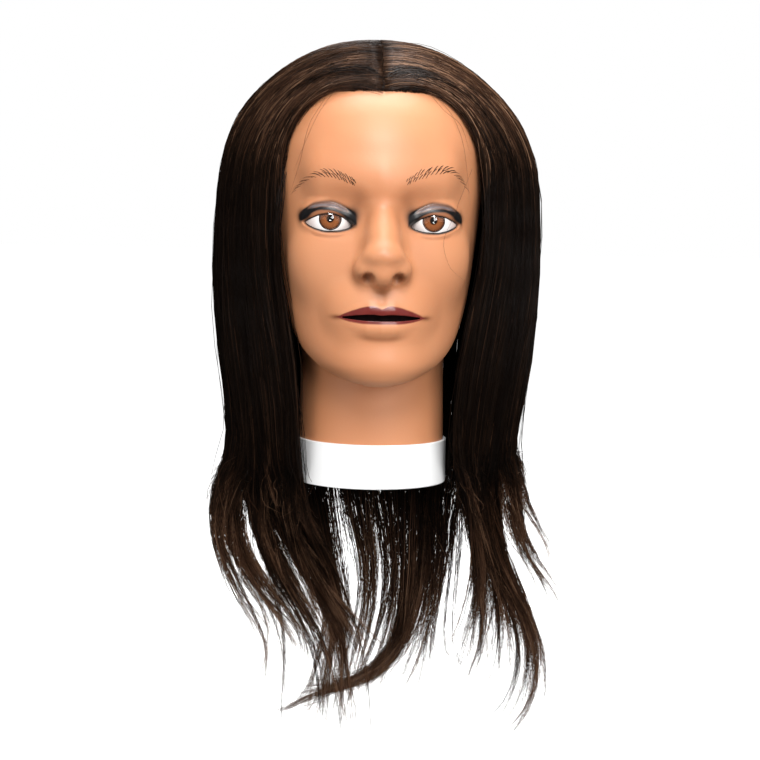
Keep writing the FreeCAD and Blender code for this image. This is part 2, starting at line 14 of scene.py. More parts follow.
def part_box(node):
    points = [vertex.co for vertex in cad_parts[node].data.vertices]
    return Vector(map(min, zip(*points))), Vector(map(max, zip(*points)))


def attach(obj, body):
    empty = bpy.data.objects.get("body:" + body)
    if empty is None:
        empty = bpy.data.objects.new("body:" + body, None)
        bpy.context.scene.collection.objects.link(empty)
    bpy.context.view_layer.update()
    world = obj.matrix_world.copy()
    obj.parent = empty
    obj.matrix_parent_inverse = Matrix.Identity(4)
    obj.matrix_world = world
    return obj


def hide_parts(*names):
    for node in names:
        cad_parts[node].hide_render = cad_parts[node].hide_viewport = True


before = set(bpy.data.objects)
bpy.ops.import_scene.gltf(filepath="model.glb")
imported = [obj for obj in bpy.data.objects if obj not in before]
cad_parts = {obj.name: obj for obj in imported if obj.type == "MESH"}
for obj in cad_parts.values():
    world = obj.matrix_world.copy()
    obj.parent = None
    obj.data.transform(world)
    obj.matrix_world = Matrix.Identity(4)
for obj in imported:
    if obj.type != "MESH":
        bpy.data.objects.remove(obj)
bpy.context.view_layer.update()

MM = 0.001
SIDE_NAMES = {1: "left", -1: "right"}  # the head's own sides, by the sign of x


# ---------------------------------------------------------------- measures taken from the frame

def node_box(node):
    """A CAD node's lowest and highest corners, in millimetres."""
    low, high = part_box(node)
    return np.array(low) / MM, np.array(high) / MM


SKIN_FOOT = node_box("vinyl_skin")[0][2]
IRIS_LOW, IRIS_HIGH = node_box("left_iris")
IRIS_RADIUS = (IRIS_HIGH[0] - IRIS_LOW[0]) / 2
EYE_AT = (IRIS_LOW + IRIS_HIGH) / 2  # the middle of the left iris
EYE_RADIUS = 17.0
# The lids close over an eyeball a little nearer the nose and further forward than the CAD dome.
EYE_CENTRE = np.array([EYE_AT[0] - 0.9, node_box("left_eye_dome")[0][1] + EYE_RADIUS - 1.2, EYE_AT[2]])
HAIR_TIP = node_box("lock_right_inner")[0][2]


# ---------------------------------------------------------------- numbers

def smooth_step(low, high, value):
    share = np.clip((value - low) / (high - low), 0, 1)
    return share * share * (3 - 2 * share)


def within(value, low, full, fade, high):
    """Rises from 0 at low to 1 at full, then falls from 1 at fade to 0 at high."""
    return smooth_step(low, full, value) * (1 - smooth_step(fade, high, value))


def soft_line(offset, width):
    return np.exp(-((offset / width) ** 2))


def soft_spot(across, up, wide, tall):
    return np.exp(-((across / wide) ** 2) - (up / tall) ** 2)


def mix(a, b, share):
    return a + (b - a) * share


def monotone(xs, ys, at):
    """A smooth curve through the points that never overshoots them; ys may have several columns."""
    xs = np.asarray(xs, float)
    ys = np.asarray(ys, float)
    columns = ys.reshape(len(xs), -1)
    gaps = np.diff(xs)[:, None]
    rise = np.diff(columns, axis=0) / gaps
    slopes = np.zeros_like(columns)
    slopes[0], slopes[-1] = rise[0], rise[-1]
    before, after = rise[:-1], rise[1:]
    same_way = before * after > 0
    weight_a = 2 * gaps[1:] + gaps[:-1]
    weight_b = gaps[1:] + 2 * gaps[:-1]
    with np.errstate(divide="ignore", invalid="ignore"):
        inner = (weight_a + weight_b) / (weight_a / before + weight_b / after)
    slopes[1:-1] = np.where(same_way, inner, 0)
    at = np.clip(np.asarray(at, float), xs[0], xs[-1])
    span = np.clip(np.searchsorted(xs, at, side="right") - 1, 0, len(xs) - 2)
    width = gaps[span]
    t = ((at - xs[span])[..., None]) / width
    low, high = columns[span], columns[span + 1]
    value = (
        low * (2 * t**3 - 3 * t**2 + 1)
        + width * slopes[span] * (t**3 - 2 * t**2 + t)
        + high * (-2 * t**3 + 3 * t**2)
        + width * slopes[span + 1] * (t**3 - t**2)
    )
    return value.reshape(at.shape + ys.shape[1:])


def between(value, points):
    """A smooth curve through (place, height) points."""
    return monotone(*zip(*points), value)


def shares_along(points):
    """How far along a bent line each of its points is, from 0 to 1."""
    steps = np.linalg.norm(np.diff(points, axis=0), axis=1)
    along = np.concatenate([[0], np.cumsum(steps)])
    return along / along[-1]


# ---------------------------------------------------------------- the head as a solid

# Level rings of the head: height, half width, front (-Y) and back (+Y) reach from the clamp's axis.
SKULL_RINGS = [
    (69.0, 8.6, 77.4, -56.0),
    (74.0, 27.0, 83.4, -25.0),
    (82.0, 40.0, 86.0, -2.0),
    (92.0, 49.0, 86.0, 26.0),
    (107.0, 56.5, 85.5, 60.0),
    (130.0, 62.6, 85.5, 86.0),
    (150.0, 66.0, 84.5, 96.0),
    (170.0, 69.0, 83.0, 101.0),
    (190.0, 71.3, 84.0, 103.5),
    (214.0, 72.0, 83.0, 101.0),
    (234.0, 67.7, 75.5, 92.0),
    (254.0, 55.0, 58.0, 72.0),
    (268.0, 38.0, 36.0, 50.0),
    (276.0, 18.0, 14.0, 28.0),
    (279.0, 3.0, 0.0, 10.0),
]
NECK_RADIUS = 47.9
NECK_RINGS = [
    (0.0, NECK_RADIUS, NECK_RADIUS, NECK_RADIUS),
    (30.5, NECK_RADIUS, NECK_RADIUS, 48.1),
    (69.0, 47.3, 46.9, 52.4),
    (118.0, 49.9, 38.9, 65.9),
]
RING_STEP = 0.25
LEAST_SHARE = 0.3  # the least that a distance may be of the level distance
TINY = 1e-9  # keeps a division from failing


def ring_table(rings):
    """The rings on a fine, even ladder of heights."""
    rings = np.array(rings)
    heights = np.arange(rings[0, 0], rings[-1, 0] + RING_STEP, RING_STEP)
    return heights, monotone(rings[:, 0], rings[:, 1:], heights)


def ring_sizes(table, z):
    """The half width, front reach and back reach at each height."""
    heights, sizes = table
    return [np.interp(z, heights, sizes[:, i]) for i in range(3)]


def ring_level(table, x, y, z):
    """1 on the rings' surface and less inside, with its slopes in x and y."""
    half, front, back = ring_sizes(table, z)
    deep = (front + back) / 2
    middle = (back - front) / 2
    across, along = x / half, (y - middle) / deep
    level = np.sqrt(across**2 + along**2) + TINY
    return level, across / half / level, along / deep / level


def ring_distance(table, x, y, z):
    """The distance to the rings' surface, nearly, and below zero inside."""
    level, slope_x, slope_y = ring_level(table, x, y, z)
    slope_z = (ring_level(table, x, y, z + 1)[0] - ring_level(table, x, y, z - 1)[0]) / 2
    flat = (level - 1) / np.sqrt(slope_x**2 + slope_y**2 + TINY)
    distance = (level - 1) / np.sqrt(slope_x**2 + slope_y**2 + slope_z**2 + TINY)
    distance = np.where(flat > 0, np.maximum(distance, LEAST_SHARE * flat), distance)
    heights = table[0]
    past = np.maximum(heights[0] - z, z - heights[-1])
    return np.where(past > 0, np.maximum(distance, 0) + past, distance)


def ellipsoid(x, y, z, centre, radii):
    """The distance to an ellipsoid, nearly, and below zero inside."""
    ax, ay, az = ((v - c) / r for v, c, r in zip((x, y, z), centre, radii))
    bx, by, bz = ax / radii[0], ay / radii[1], az / radii[2]
    near = np.sqrt(ax**2 + ay**2 + az**2) + TINY
    return near * (near - 1) / (np.sqrt(bx**2 + by**2 + bz**2) + TINY)


def rod(x, y, z, start, end):
    """A rod with round ends; start and end are (x, y, z, radius)."""
    start, end = np.array(start, float), np.array(end, float)
    way = end[:3] - start[:3]
    dx, dy, dz = x - start[0], y - start[1], z - start[2]
    t = np.clip((dx * way[0] + dy * way[1] + dz * way[2]) / (way @ way), 0, 1)
    off = np.sqrt((dx - t * way[0]) ** 2 + (dy - t * way[1]) ** 2 + (dz - t * way[2]) ** 2)
    return off - mix(start[3], end[3], t)


def melt(a, b, blend):
    """Both solids, joined with a fillet about blend wide."""
    share = np.clip(0.5 + 0.5 * (b - a) / blend, 0, 1)
    return mix(b, a, share) - blend * share * (1 - share)


def carve(a, b, blend):
    """The first solid less the second, with a soft edge."""
    return -melt(-a, b, blend)


def chain(solid, x, y, z, points, blend):
    """The solid with a bent rod melted on, through (x, y, z, radius) points."""
    bent = rod(x, y, z, points[0], points[1])
    for start, end in zip(points[1:-1], points[2:]):
        bent = np.minimum(bent, rod(x, y, z, start, end))
    return melt(solid, bent, blend)


# What makes the face, in order: melted on or carved out, its form, the form's two measures, and how wide
# the fillet is. A rod has two ends, and an ellipsoid has a centre and radii.
FACE_FORMS = [
    # brow, cheek bone, muzzle and chin
    (melt, rod, (0, -74.5, 196, 10), (33, -62.3, 200, 11), 14),
    (melt, ellipsoid, (33, -54, 148), (21, 18.5, 24), 16),
    (melt, ellipsoid, (0, -70, 115), (31, 19.5, 23), 10),
    (melt, ellipsoid, (0, -68, 84), (23, 18, 12), 9),
    # eye sockets, then the lids over the eyeballs
    (carve, ellipsoid, (29, -90.3, 176), (20, 16.5, 12.5), 10),
    (melt, ellipsoid, EYE_CENTRE, (19.5, 18.4, 17.6), 2.5),
    # nose, from its bridge to its nostrils
    (melt, ellipsoid, (0, -83, 153), (12.5, 14, 19), 7),
    (melt, rod, (0, -75.6, 181, 6.6), (0, -96.0, 151.5, 7.6), 6),
    (melt, ellipsoid, (0, -96.0, 149.0), (12.0, 10.2, 7.2), 6),
    (melt, ellipsoid, (10.6, -88.8, 140.8), (6.8, 9.2, 6.8), 8),
    (melt, ellipsoid, (0, -94.0, 140.5), (9.5, 9.5, 9.5), 4),
    (melt, rod, (0, -97.0, 144.0, 5.0), (0, -87.0, 132.0, 4.6), 3),
    (carve, ellipsoid, (9.0, -95.5, 135.0), (3.8, 7.5, 4.4), 2),
]
UPPER_LIP = [
    (0, -87.4, 116.2, 3.9),
    (7, -87.2, 116.5, 3.9),
    (14, -84.8, 115.2, 3.2),
    (21, -81.0, 113.4, 2.2),
    (27, -76.6, 111.8, 1.0),
]
LOWER_LIP = [
    (0, -86.3, 105.6, 4.3),
    (8, -85.6, 105.8, 4.2),
    (16, -82.2, 107.4, 3.2),
    (25, -77.2, 110.6, 1.4),
]
TABLES = {"skull": ring_table(SKULL_RINGS), "neck": ring_table(NECK_RINGS)}


def head_solid(x, y, z):
    """Below zero inside the head. Both halves are alike, so the parts to the side are made once."""
    x = np.abs(x)
    solid = ring_distance(TABLES["skull"], x, y, z)
    solid = melt(solid, ring_distance(TABLES["neck"], x, y, z), 7)
    for join, form, first, second, blend in FACE_FORMS:
        solid = join(solid, form(x, y, z, first, second), blend)
    solid = chain(solid, x, y, z, UPPER_LIP, 3.4)
    return chain(solid, x, y, z, LOWER_LIP, 3.0)


# ---------------------------------------------------------------- outlines on the face

HAIRLINE_HEIGHT = 250.5
# Outlines of the painted lips and of the gap between them: out from the middle, and height.
LIP_TOP = [(0, 117.2), (5.5, 119.2), (10, 118.6), (17.5, 116.3), (23, 114.0), (26.5, 112.2), (29, 111.7)]
LIP_FOOT = [(0, 108.0), (10, 108.1), (18, 109.0), (24, 110.5), (26.5, 111.4), (29, 111.7)]
GAP_TOP = [(0, 113.4), (6, 113.9), (14, 113.5), (22, 112.5), (26.5, 111.8)]
GAP_FOOT = [(0, 109.8), (10, 110.0), (18, 110.6), (26.5, 111.7)]

# Lid edges over the eyeball, then the outer edges of the lids' rims, then the creases over and under them.
LID_TOP = [(18.0, 167.4), (21, 170.0), (26, 173.0), (31.5, 174.4), (38, 173.6), (43, 171.6), (47.5, 169.2)]
LID_FOOT = [(18.0, 167.4), (22, 165.6), (28, 164.4), (34, 164.2), (40, 165.4), (44, 167.0), (47.5, 169.2)]
RIM_TOP = [
    (15.5, 168.2), (20.4, 172.2), (25, 175.0), (31, 177.2), (37, 177.6), (42, 176.4), (46.5, 174.0),
    (50.5, 170.4),
]
RIM_FOOT = [(15.5, 166.4), (22, 163.8), (28, 162.4), (34, 162.2), (40, 163.4), (45, 165.6), (50.5, 168.8)]
CREASE = [(14, 171.5), (18, 175.2), (24, 179.2), (32, 181.8), (41, 180.8), (47.5, 177.0), (52, 172.0)]
FOOT_CREASE = [(18, 163.5), (24, 161.4), (32, 160.4), (40, 161.2), (46, 163.8)]


def lens(x, z, top, foot):
    """Below zero between two curves that meet at both ends, in about millimetres."""
    out = np.abs(x)
    low, high = top[0][0], top[-1][0]
    inside = np.maximum(z - between(out, top), between(out, foot) - z)
    past = np.maximum(low - out, out - high) if low > 0 else out - high
    return np.maximum(inside, past)


def lid_lens(x, z):
    return lens(x, z, LID_TOP, LID_FOOT)


def gap_lens(x, z):
    return lens(x, z, GAP_TOP, GAP_FOOT)


# ---------------------------------------------------------------- the skin

def ladder(spans):
    """Values along spans of (start, end, step), each span ending where the next one starts."""
    steps = []
    for start, end, step in spans:
        count = max(1, round((end - start) / step))
        steps.append(np.linspace(start, end, count, endpoint=False))
    return np.concatenate(steps)


# Where the front of each row of the skin lands, and the height of the point inside that it is seen from.
ROW_AIMS = [
    (SKIN_FOOT, NECK_RADIUS, SKIN_FOOT),
    (30.0, 48.0, 34.0),
    (50.0, 48.5, 72.0),
    (62.0, 51.0, 92.0),
    (66.5, 60.0, 95.0),
    (68.5, 70.0, 97.0),
    (74.0, 82.0, 98.5),
    (85.0, 86.0, 100.5),
    (98.0, 86.0, 102.5),
    (104.0, 86.0, 104.0),
]
# How finely the rows step from aim to aim, as (start, end, step) in the numbers of the aims.
ROW_FEET = [
    (0, 1, 1 / 8), (1, 2, 1 / 10), (2, 3, 1 / 8), (3, 6, 1 / 7), (6, 7, 1 / 9), (7, 8, 1 / 11), (8, 9, 1 / 9),
]
# Heights of the level rows over the face, then turns of the columns in degrees, both as (start, end, step).
FACE_ROWS = [(104, 122, 0.5), (122, 160, 0.8), (160, 186, 0.55), (186, 205, 1.1), (205, 236, 1.9)]
COLUMN_SPANS = [(0, 39, 0.45), (39, 52, 0.7), (52, 75, 1.2), (75, 180, 2.3)]
CROWN_STEP = 3.0  # degrees between the rows over the crown
CROWN_RISE = 6.0  # how far up the spine the crown's rows are seen from
SPINE_Y = -4.0
FRONT = -30.0  # the face is in front of here
HALVINGS = 13  # how often a span is halved to find a surface in it
OFF_LINE = 5.0  # a level that is far from any line


def skin_rays():
    """Rays from a spine inside the head, as rows of (height, rise) and columns of turn."""
    aims = np.array(ROW_AIMS)
    along = ladder(ROW_FEET)
    feet = monotone(np.arange(len(aims)), aims, along)
    rise = np.arctan2(feet[:, 0] - feet[:, 2], feet[:, 1] + SPINE_Y)
    face = ladder(FACE_ROWS)
    crown = np.radians(np.arange(0, 89, CROWN_STEP))
    heights = np.concatenate([feet[:, 2], face, FACE_ROWS[-1][1] + CROWN_RISE * np.sin(crown)])
    rises = np.concatenate([rise, np.zeros(len(face)), crown])
    half = np.radians(np.append(ladder(COLUMN_SPANS), 180.0))
    turns = np.concatenate([-half[:0:-1], half[:-1]])
    return heights, rises, turns


def shoot(start, way, reach=(15.0, 135.0), looks=60):
    """Where rays last leave the head: looks along each ray, then halves the span where it leaves."""
    near, far = reach
    low = np.full(start.shape[:-1], near)
    for length in np.linspace(near, far, looks):
        inside = head_solid(*np.moveaxis(start + way * length, -1, 0)) < 0
        low = np.where(inside, length, low)
    high = low + (far - near) / (looks - 1)
    for _ in range(HALVINGS):
        middle = (low + high) / 2
        inside = head_solid(*np.moveaxis(start + way * middle[..., None], -1, 0)) < 0
        low = np.where(inside, middle, low)
        high = np.where(inside, high, middle)
    return start + way * low[..., None]


def snap(across, up, values):
    """Moves the grid's nearest points onto the line where values is zero, so that the line is crisp.

    Returns the moved points, the sign of each point, and which points moved."""
    best = np.full(values.shape, np.inf)
    target_across, target_up = across.copy(), up.copy()
    for step in ((0, -1), (0, 1), (-1, 0), (1, 0)):
        there, across_there, up_there = (np.roll(grid, step, (0, 1)) for grid in (values, across, up))
        crossing = (values < 0) != (there < 0)
        share = np.where(crossing, values / np.where(crossing, values - there, 1), np.inf)
        nearer = crossing & (share <= 0.5) & (share < best)
        best = np.where(nearer, share, best)
        share = np.where(nearer, share, 0)
        target_across = np.where(nearer, mix(across, across_there, share), target_across)
        target_up = np.where(nearer, mix(up, up_there, share), target_up)
    moved = np.isfinite(best)
    return target_across, target_up, np.where(moved, 0, np.sign(values)), moved


def front_depth(across, up):
    """How far out the face is at points seen straight from the front."""
    start = np.stack([across, np.full_like(across, -20.0), up], -1)
    way = np.broadcast_to(np.array([0.0, -1.0, 0.0]), start.shape)
    return shoot(start, way, (5.0, 95.0), 40)[..., 1]


def eyeball_front(across, up, radius):
    flat = radius**2 - (np.abs(across) - EYE_CENTRE[0]) ** 2 - (up - EYE_CENTRE[2]) ** 2
    return EYE_CENTRE[1] - np.sqrt(np.maximum(flat, 9.0))


def face_details(points, eye_sign, gap_sign):
    """Moves the front of the face in and out for its small shapes."""
    across, depth, up = np.moveaxis(points, -1, 0)
    out = np.abs(across)
    front = depth < FRONT
    # the groove under the nose, and the creases over each upper lid and under each lower one
    groove = soft_line(across, 2.7) * within(up, 118, 121, 127, 131)
    crease = soft_line(up - between(out, CREASE), 1.2) * within(out, 15, 21, 46, 52)
    bag = soft_line(up - between(out, FOOT_CREASE), 1.0) * within(out, 20, 26, 40, 46)
    depth = depth + (0.8 * groove + 0.9 * crease + 0.45 * bag) * front
    # the rims of the lids run in to the eyeball
    lid_top, lid_foot = between(out, LID_TOP), between(out, LID_FOOT)
    above = (up - lid_top) / (between(out, RIM_TOP) - lid_top)
    below = (lid_foot - up) / (lid_foot - between(out, RIM_FOOT))
    share = np.clip(np.where(up > (lid_top + lid_foot) / 2, above, below), 0, 1)
    eyeball = eyeball_front(across, up, EYE_RADIUS + 0.1)
    rim = (lens(across, up, RIM_TOP, RIM_FOOT) < 0) & front & (eye_sign >= 0)
    rim_depth = mix(depth, mix(eyeball, depth, share**0.6), within(out, 15.5, 19, 46.5, 50))
    depth = np.where(rim, rim_depth, depth)
    # the hollows behind the eyes and in the mouth
    depth = np.where((eye_sign < 0) & front, eyeball_front(across, up, EYE_RADIUS - 5), depth)
    depth = np.where((gap_sign < 0) & front, depth + 6.0, depth)
    return np.stack([across, depth, up], -1)


def lid_paint(out, up):
    """The black and the silver round the eyes."""
    over = up - between(out, RIM_TOP)
    wide = 1.0 + 1.0 * smooth_step(40, 47, out) + 0.6 * (1 - smooth_step(20, 27, out))
    band = soft_line(over - 0.3 * wide, wide) * within(out, 15, 18, 48, 52)
    foot_line = soft_line(up - between(out, LID_FOOT) + 0.35, 0.85) * smooth_step(16, 21, out)
    top_line = soft_line(up - between(out, LID_TOP) - 0.2, 0.6) * smooth_step(17, 21, out)
    line = np.maximum(foot_line, top_line) * (1 - smooth_step(45, 49, out))
    blobs = soft_spot(out - 18.4, up - 173.0, 3.9, 5.4) + soft_spot(out - 48.0, up - 173.6, 3.4, 3.2)
    thin = soft_line(up - between(out, CREASE), 0.95) * within(out, 16, 20, 48, 52)
    black = np.clip(1.7 * band + 1.4 * line + 1.3 * blobs + 0.7 * thin, 0, 1)
    to_crease = np.maximum(between(out, CREASE) - between(out, RIM_TOP), 0.5)
    silver = soft_line(np.clip(over / to_crease, -1, 2) - 0.6, 0.42) * within(out, 18, 24, 43, 48)
    return black, silver


# Spots of painted shade, warm brown, in hollows and under the nose: amount, out from the middle and height,
# then how wide and tall.
SHADE_SPOTS = [
    (0.95, 27.5, 111.7, 3.6, 1.5),  # corners of the mouth
    (0.85, 10.8, 136.6, 5.0, 2.6),  # nostrils
    (0.75, 0.0, 127.6, 4.6, 3.4),  # under the nose
    (0.35, 14.5, 181.0, 4.5, 9.0),  # beside the bridge of the nose
    # painted shade on the tip of the nose tones down its highlight
    (0.22, 0.0, 154.0, 6.5, 6.5),  # tip of the nose
]


def painted_shade(out, up):
    """Painted shade in warm brown round the mouth, nose, chin and lids: in their folds, creases, hollows and
    undersides.
    """
    fold = soft_line(up - 98.6 - (out / 11) ** 2, 1.9) * (1 - smooth_step(6, 21, out))
    bag = soft_line(up - between(out, FOOT_CREASE), 0.9) * within(out, 22, 28, 40, 46)
    rim = smooth_step(-0.3, 0.4, up - between(out, LID_TOP)) * within(out, 18, 24, 45, 49)
    rim = rim * (1 - smooth_step(-0.6, 0.6, up - between(out, RIM_TOP)))
    shade = 0.7 * fold + 0.4 * bag + 0.72 * rim
    for amount, middle, height, wide, tall in SHADE_SPOTS:
        shade = shade + amount * soft_spot(out - middle, up - height, wide, tall)
    return np.clip(shade, 0, 1)


def scalp_paint(across, depth, up):
    """The scalp under the hair painted near black, painted shade that keeps gaps between the hairs dark; a
    little lighter along the parting.
    """
    scalp = smooth_step(HAIRLINE_HEIGHT + 1, HAIRLINE_HEIGHT + 4, up)
    scalp = scalp * (1 - 0.3 * soft_line(across, 1.5) * smooth_step(256, 262, up))
    return 0.97 * np.maximum(scalp, smooth_step(-24, -16, depth) * smooth_step(98, 112, up))


def face_paint(points):
    """The paint as four amounts at each point: lip colour, black, silver and warm painted shade."""
    across, depth, up = np.moveaxis(points, -1, 0)
    out = np.abs(across)
    front = depth < FRONT
    lip = 1 - smooth_step(-0.35, 0.35, lens(across, up, LIP_TOP, LIP_FOOT))
    black, silver = lid_paint(out, up)
    # the black also carries the scalp's painted shade
    black = np.maximum(black * front, scalp_paint(across, depth, up))
    return np.stack([lip * front, black, silver * front, painted_shade(out, up) * front], -1)


def put_mesh(name, points, faces, materials):
    """A mesh object from points in millimetres and lists of faces, each an array of one face size."""
    mesh = bpy.data.meshes.new(name)
    points = np.asarray(points, float).reshape(-1, 3) * MM
    mesh.vertices.add(len(points))
    mesh.vertices.foreach_set("co", points.ravel().astype(np.float32))
    faces = [np.asarray(f, np.int32) for f in faces if len(f)]
    sizes = np.concatenate([np.full(len(f), f.shape[1], np.int32) for f in faces])
    corners = np.concatenate([f.ravel() for f in faces])
    mesh.loops.add(len(corners))
    mesh.loops.foreach_set("vertex_index", corners)
    mesh.polygons.add(len(sizes))
    starts = np.concatenate([[0], np.cumsum(sizes)[:-1]])
    mesh.polygons.foreach_set("loop_start", starts.astype(np.int32))
    for material in materials:
        mesh.materials.append(material)
    mesh.update(calc_edges=True)
    mesh.validate()
    mesh.shade_smooth()
    thing = bpy.data.objects.new(name, mesh)
    bpy.context.scene.collection.objects.link(thing)
    return thing


def paint_points(thing, name, values, kind="FLOAT"):
    """Stores one number, or four, at each point of a mesh."""
    attribute = thing.data.attributes.new(name, kind, "POINT")
    key = "value" if kind == "FLOAT" else "color"
    attribute.data.foreach_set(key, np.asarray(values, np.float32).ravel())


def skin_grid():
    """The points of the skin's rows, moved onto the lines of the lids and of the mouth, and two signs for
    each point: below zero in an eye's opening, and below zero in the mouth's."""
    heights, rises, turns = skin_rays()
    rise, turn = np.meshgrid(rises, turns, indexing="ij")
    way = np.stack([np.sin(turn) * np.cos(rise), -np.cos(turn) * np.cos(rise), np.sin(rise)], -1)
    start = np.zeros(way.shape)
    start[..., 1] = SPINE_Y
    start[..., 2] = heights[:, None]
    points = shoot(start, way)
    across, up = points[..., 0].copy(), points[..., 2].copy()
    signs = []
    for level, low, high in ((lid_lens, 158, 182), (gap_lens, 106, 118)):
        window = (points[..., 1] < FRONT) & (up > low) & (up < high)
        values = np.where(window, level(across, up), OFF_LINE)
        across, up, sign, moved = snap(across, up, values)
        signs.append(sign)
        points[..., 0], points[..., 2] = across, up
        points[moved, 1] = front_depth(across[moved], up[moved])
    return points, signs


def crisp_faces(index, sign):
    """The grid's quads, and triangles instead where a quad has line points at two far corners: it is cut
    between them, so that the line stays crisp."""
    following = np.roll(index, -1, 1)
    quads = np.stack([index[:-1], following[:-1], following[1:], index[1:]], -1).reshape(-1, 4)
    a, b, c, d = sign[quads].T
    cut_ac = (a == 0) & (c == 0) & (b * d < 0)
    cut_bd = (b == 0) & (d == 0) & (a * c < 0)
    triangles = np.concatenate([
        quads[cut_ac][:, [0, 1, 2]], quads[cut_ac][:, [0, 2, 3]],
        quads[cut_bd][:, [0, 1, 3]], quads[cut_bd][:, [1, 2, 3]],
    ])
    return quads[~(cut_ac | cut_bd)], triangles


SKIN_WALL = 3.0
FOOT_HOLLOW = 8.0  # how far up the foot is closed inside its wall


def closed_ends(foot, last):
    """The crown's last point, and the foot turned in and closed: points, quads and triangles.

    foot has the points of the lowest row, and last the numbers of the highest row's points."""
    columns = len(foot)
    crown_at = last[-1] + 1
    inner_at, raised_at, hub_at = crown_at + 1, crown_at + 1 + columns, crown_at + 1 + 2 * columns
    narrow = 1 - SKIN_WALL / NECK_RADIUS
    inner = foot * [narrow, narrow, 1]
    raised = inner + [0, 0, FOOT_HOLLOW]
    points = np.concatenate([
        [[0.0, SPINE_Y, SKULL_RINGS[-1][0]]], inner, raised, [[0.0, 0.0, raised[0, 2]]],
    ])
    ring = np.arange(columns)
    following = np.roll(ring, -1)
    turned = np.concatenate([
        np.stack([following, ring, ring + inner_at, following + inner_at], -1),
        np.stack([following + inner_at, ring + inner_at, ring + raised_at, following + raised_at], -1),
    ])
    caps = np.concatenate([
        np.stack([last, np.roll(last, -1), np.full(columns, crown_at)], -1),
        np.stack([following + raised_at, ring + raised_at, np.full(columns, hub_at)], -1),
    ])
    return points, turned, caps


def skin_mesh():
    """The head's skin: its points, its faces, and each point's paint and sign."""
    points, signs = skin_grid()
    points = face_details(points, *signs)
    paint = face_paint(points).reshape(-1, 4)
    sign = np.minimum(*signs).ravel()
    index = np.arange(len(sign)).reshape(points.shape[:2])
    whole, triangles = crisp_faces(index, sign)
    ends, turned, caps = closed_ends(points[0], index[-1])
    flat = np.concatenate([points.reshape(-1, 3), ends])
    paint = np.concatenate([paint, np.zeros((len(ends), 4))])
    sign = np.concatenate([sign, np.ones(len(ends))])
    return flat, [whole, turned, triangles, caps], paint, sign


# ---------------------------------------------------------------- materials

def feed(tree, socket, value):
    """Links another node's socket, or sets a plain value."""
    if hasattr(value, "node"):
        tree.links.new(value, socket)
    else:
        socket.default_value = value


def start_material(name, **sockets):
    material = bpy.data.materials.new(name)
    material.use_nodes = True
    tree = material.node_tree
    shader = tree.nodes["Principled BSDF"]
    for label, value in sockets.items():
        feed(tree, shader.inputs[label.replace("_", " ")], value)
    return material, tree, shader


def add_node(tree, kind, **settings):
    """A shader node; settings are its properties, and values or links for its sockets."""
    node = tree.nodes.new("ShaderNode" + kind)
    for key, value in settings.items():
        if hasattr(node, key):
            setattr(node, key, value)
        else:
            feed(tree, node.inputs[key.replace("_", " ")], value)
    return node


def arithmetic(tree, operation, *values):
    node = add_node(tree, "Math", operation=operation)
    for socket, value in zip(node.inputs, values):
        feed(tree, socket, value)
    return node.outputs[0]


def own_space(tree):
    return add_node(tree, "TexCoord").outputs["Object"]


def noise(tree, scale, detail=3.0, roughness=0.5, stretch=(1, 1, 1)):
    """Noise in the object's own space; stretch scales it per axis."""
    place = add_node(tree, "Mapping", Vector=own_space(tree), Scale=stretch).outputs["Vector"]
    texture = add_node(tree, "TexNoise", Vector=place, Scale=scale, Detail=detail, Roughness=roughness)
    return texture.outputs["Fac"]


def ramp(tree, value, stops):
    """A colour that follows the value; a stop is a place and a colour, or one number for a grey."""
    node = add_node(tree, "ValToRGB", Fac=value)
    elements = node.color_ramp.elements
    while len(elements) < len(stops):
        elements.new(0.5)
    for element, (place, colour) in zip(elements, stops):
        element.position = place
        element.color = (*np.broadcast_to(colour, 3), 1)
    return node.outputs["Color"]


def wander(tree, scale, first, second, detail=3.0):
    """A colour, or a grey, that wanders between two values over the object."""
    return ramp(tree, noise(tree, scale, detail), [(0.3, first), (0.7, second)])


def blend_colour(tree, share, first, second, way="MIX"):
    node = add_node(tree, "Mix", data_type="RGBA", blend_type=way)
    for number, value in ((0, share), (6, first), (7, second)):
        feed(tree, node.inputs[number], (*value, 1) if isinstance(value, tuple) else value)
    return node.outputs[2]


def bump(tree, shader, height, strength, distance):
    node = add_node(tree, "Bump", Strength=strength, Distance=distance, Height=height)
    tree.links.new(node.outputs["Normal"], shader.inputs["Normal"])


def skin_material():
    """Tinted vinyl with air-brushed make-up, and painted shade mixed in as warm brown."""
    material, tree, shader = start_material(
        "skin_vinyl", IOR=1.5, Subsurface_Weight=0.12, Subsurface_Scale=0.004, Specular_IOR_Level=0.55,
        Subsurface_Radius=(1.0, 0.45, 0.25),
    )
    paint = add_node(tree, "Attribute", attribute_name="paint")
    lip, black, silver = add_node(tree, "SeparateColor", Color=paint.outputs["Color"]).outputs
    colour = wander(tree, 14, (0.52, 0.212, 0.096), (0.585, 0.25, 0.118), 2)
    # painted shade: the paint's fourth amount mixes in warm brown
    colour = blend_colour(tree, paint.outputs["Alpha"], colour, (0.20, 0.066, 0.022))
    silver_colour = wander(tree, 90, (0.10, 0.083, 0.088), (0.18, 0.155, 0.162), 2)
    colour = blend_colour(tree, silver, colour, silver_colour)
    colour = blend_colour(tree, black, colour, (0.004, 0.0035, 0.004))
    lip_colour = wander(tree, 120, (0.125, 0.014, 0.012), (0.185, 0.026, 0.020))
    feed(tree, shader.inputs["Base Color"], blend_colour(tree, lip, colour, lip_colour))
    gloss = arithmetic(tree, "MAXIMUM", lip, silver)
    feed(tree, shader.inputs["Roughness"], ramp(tree, gloss, [(0.0, 0.47), (1.0, 0.29)]))
    bump(tree, shader, noise(tree, 900, 3), 0.12, 0.0004)
    return material


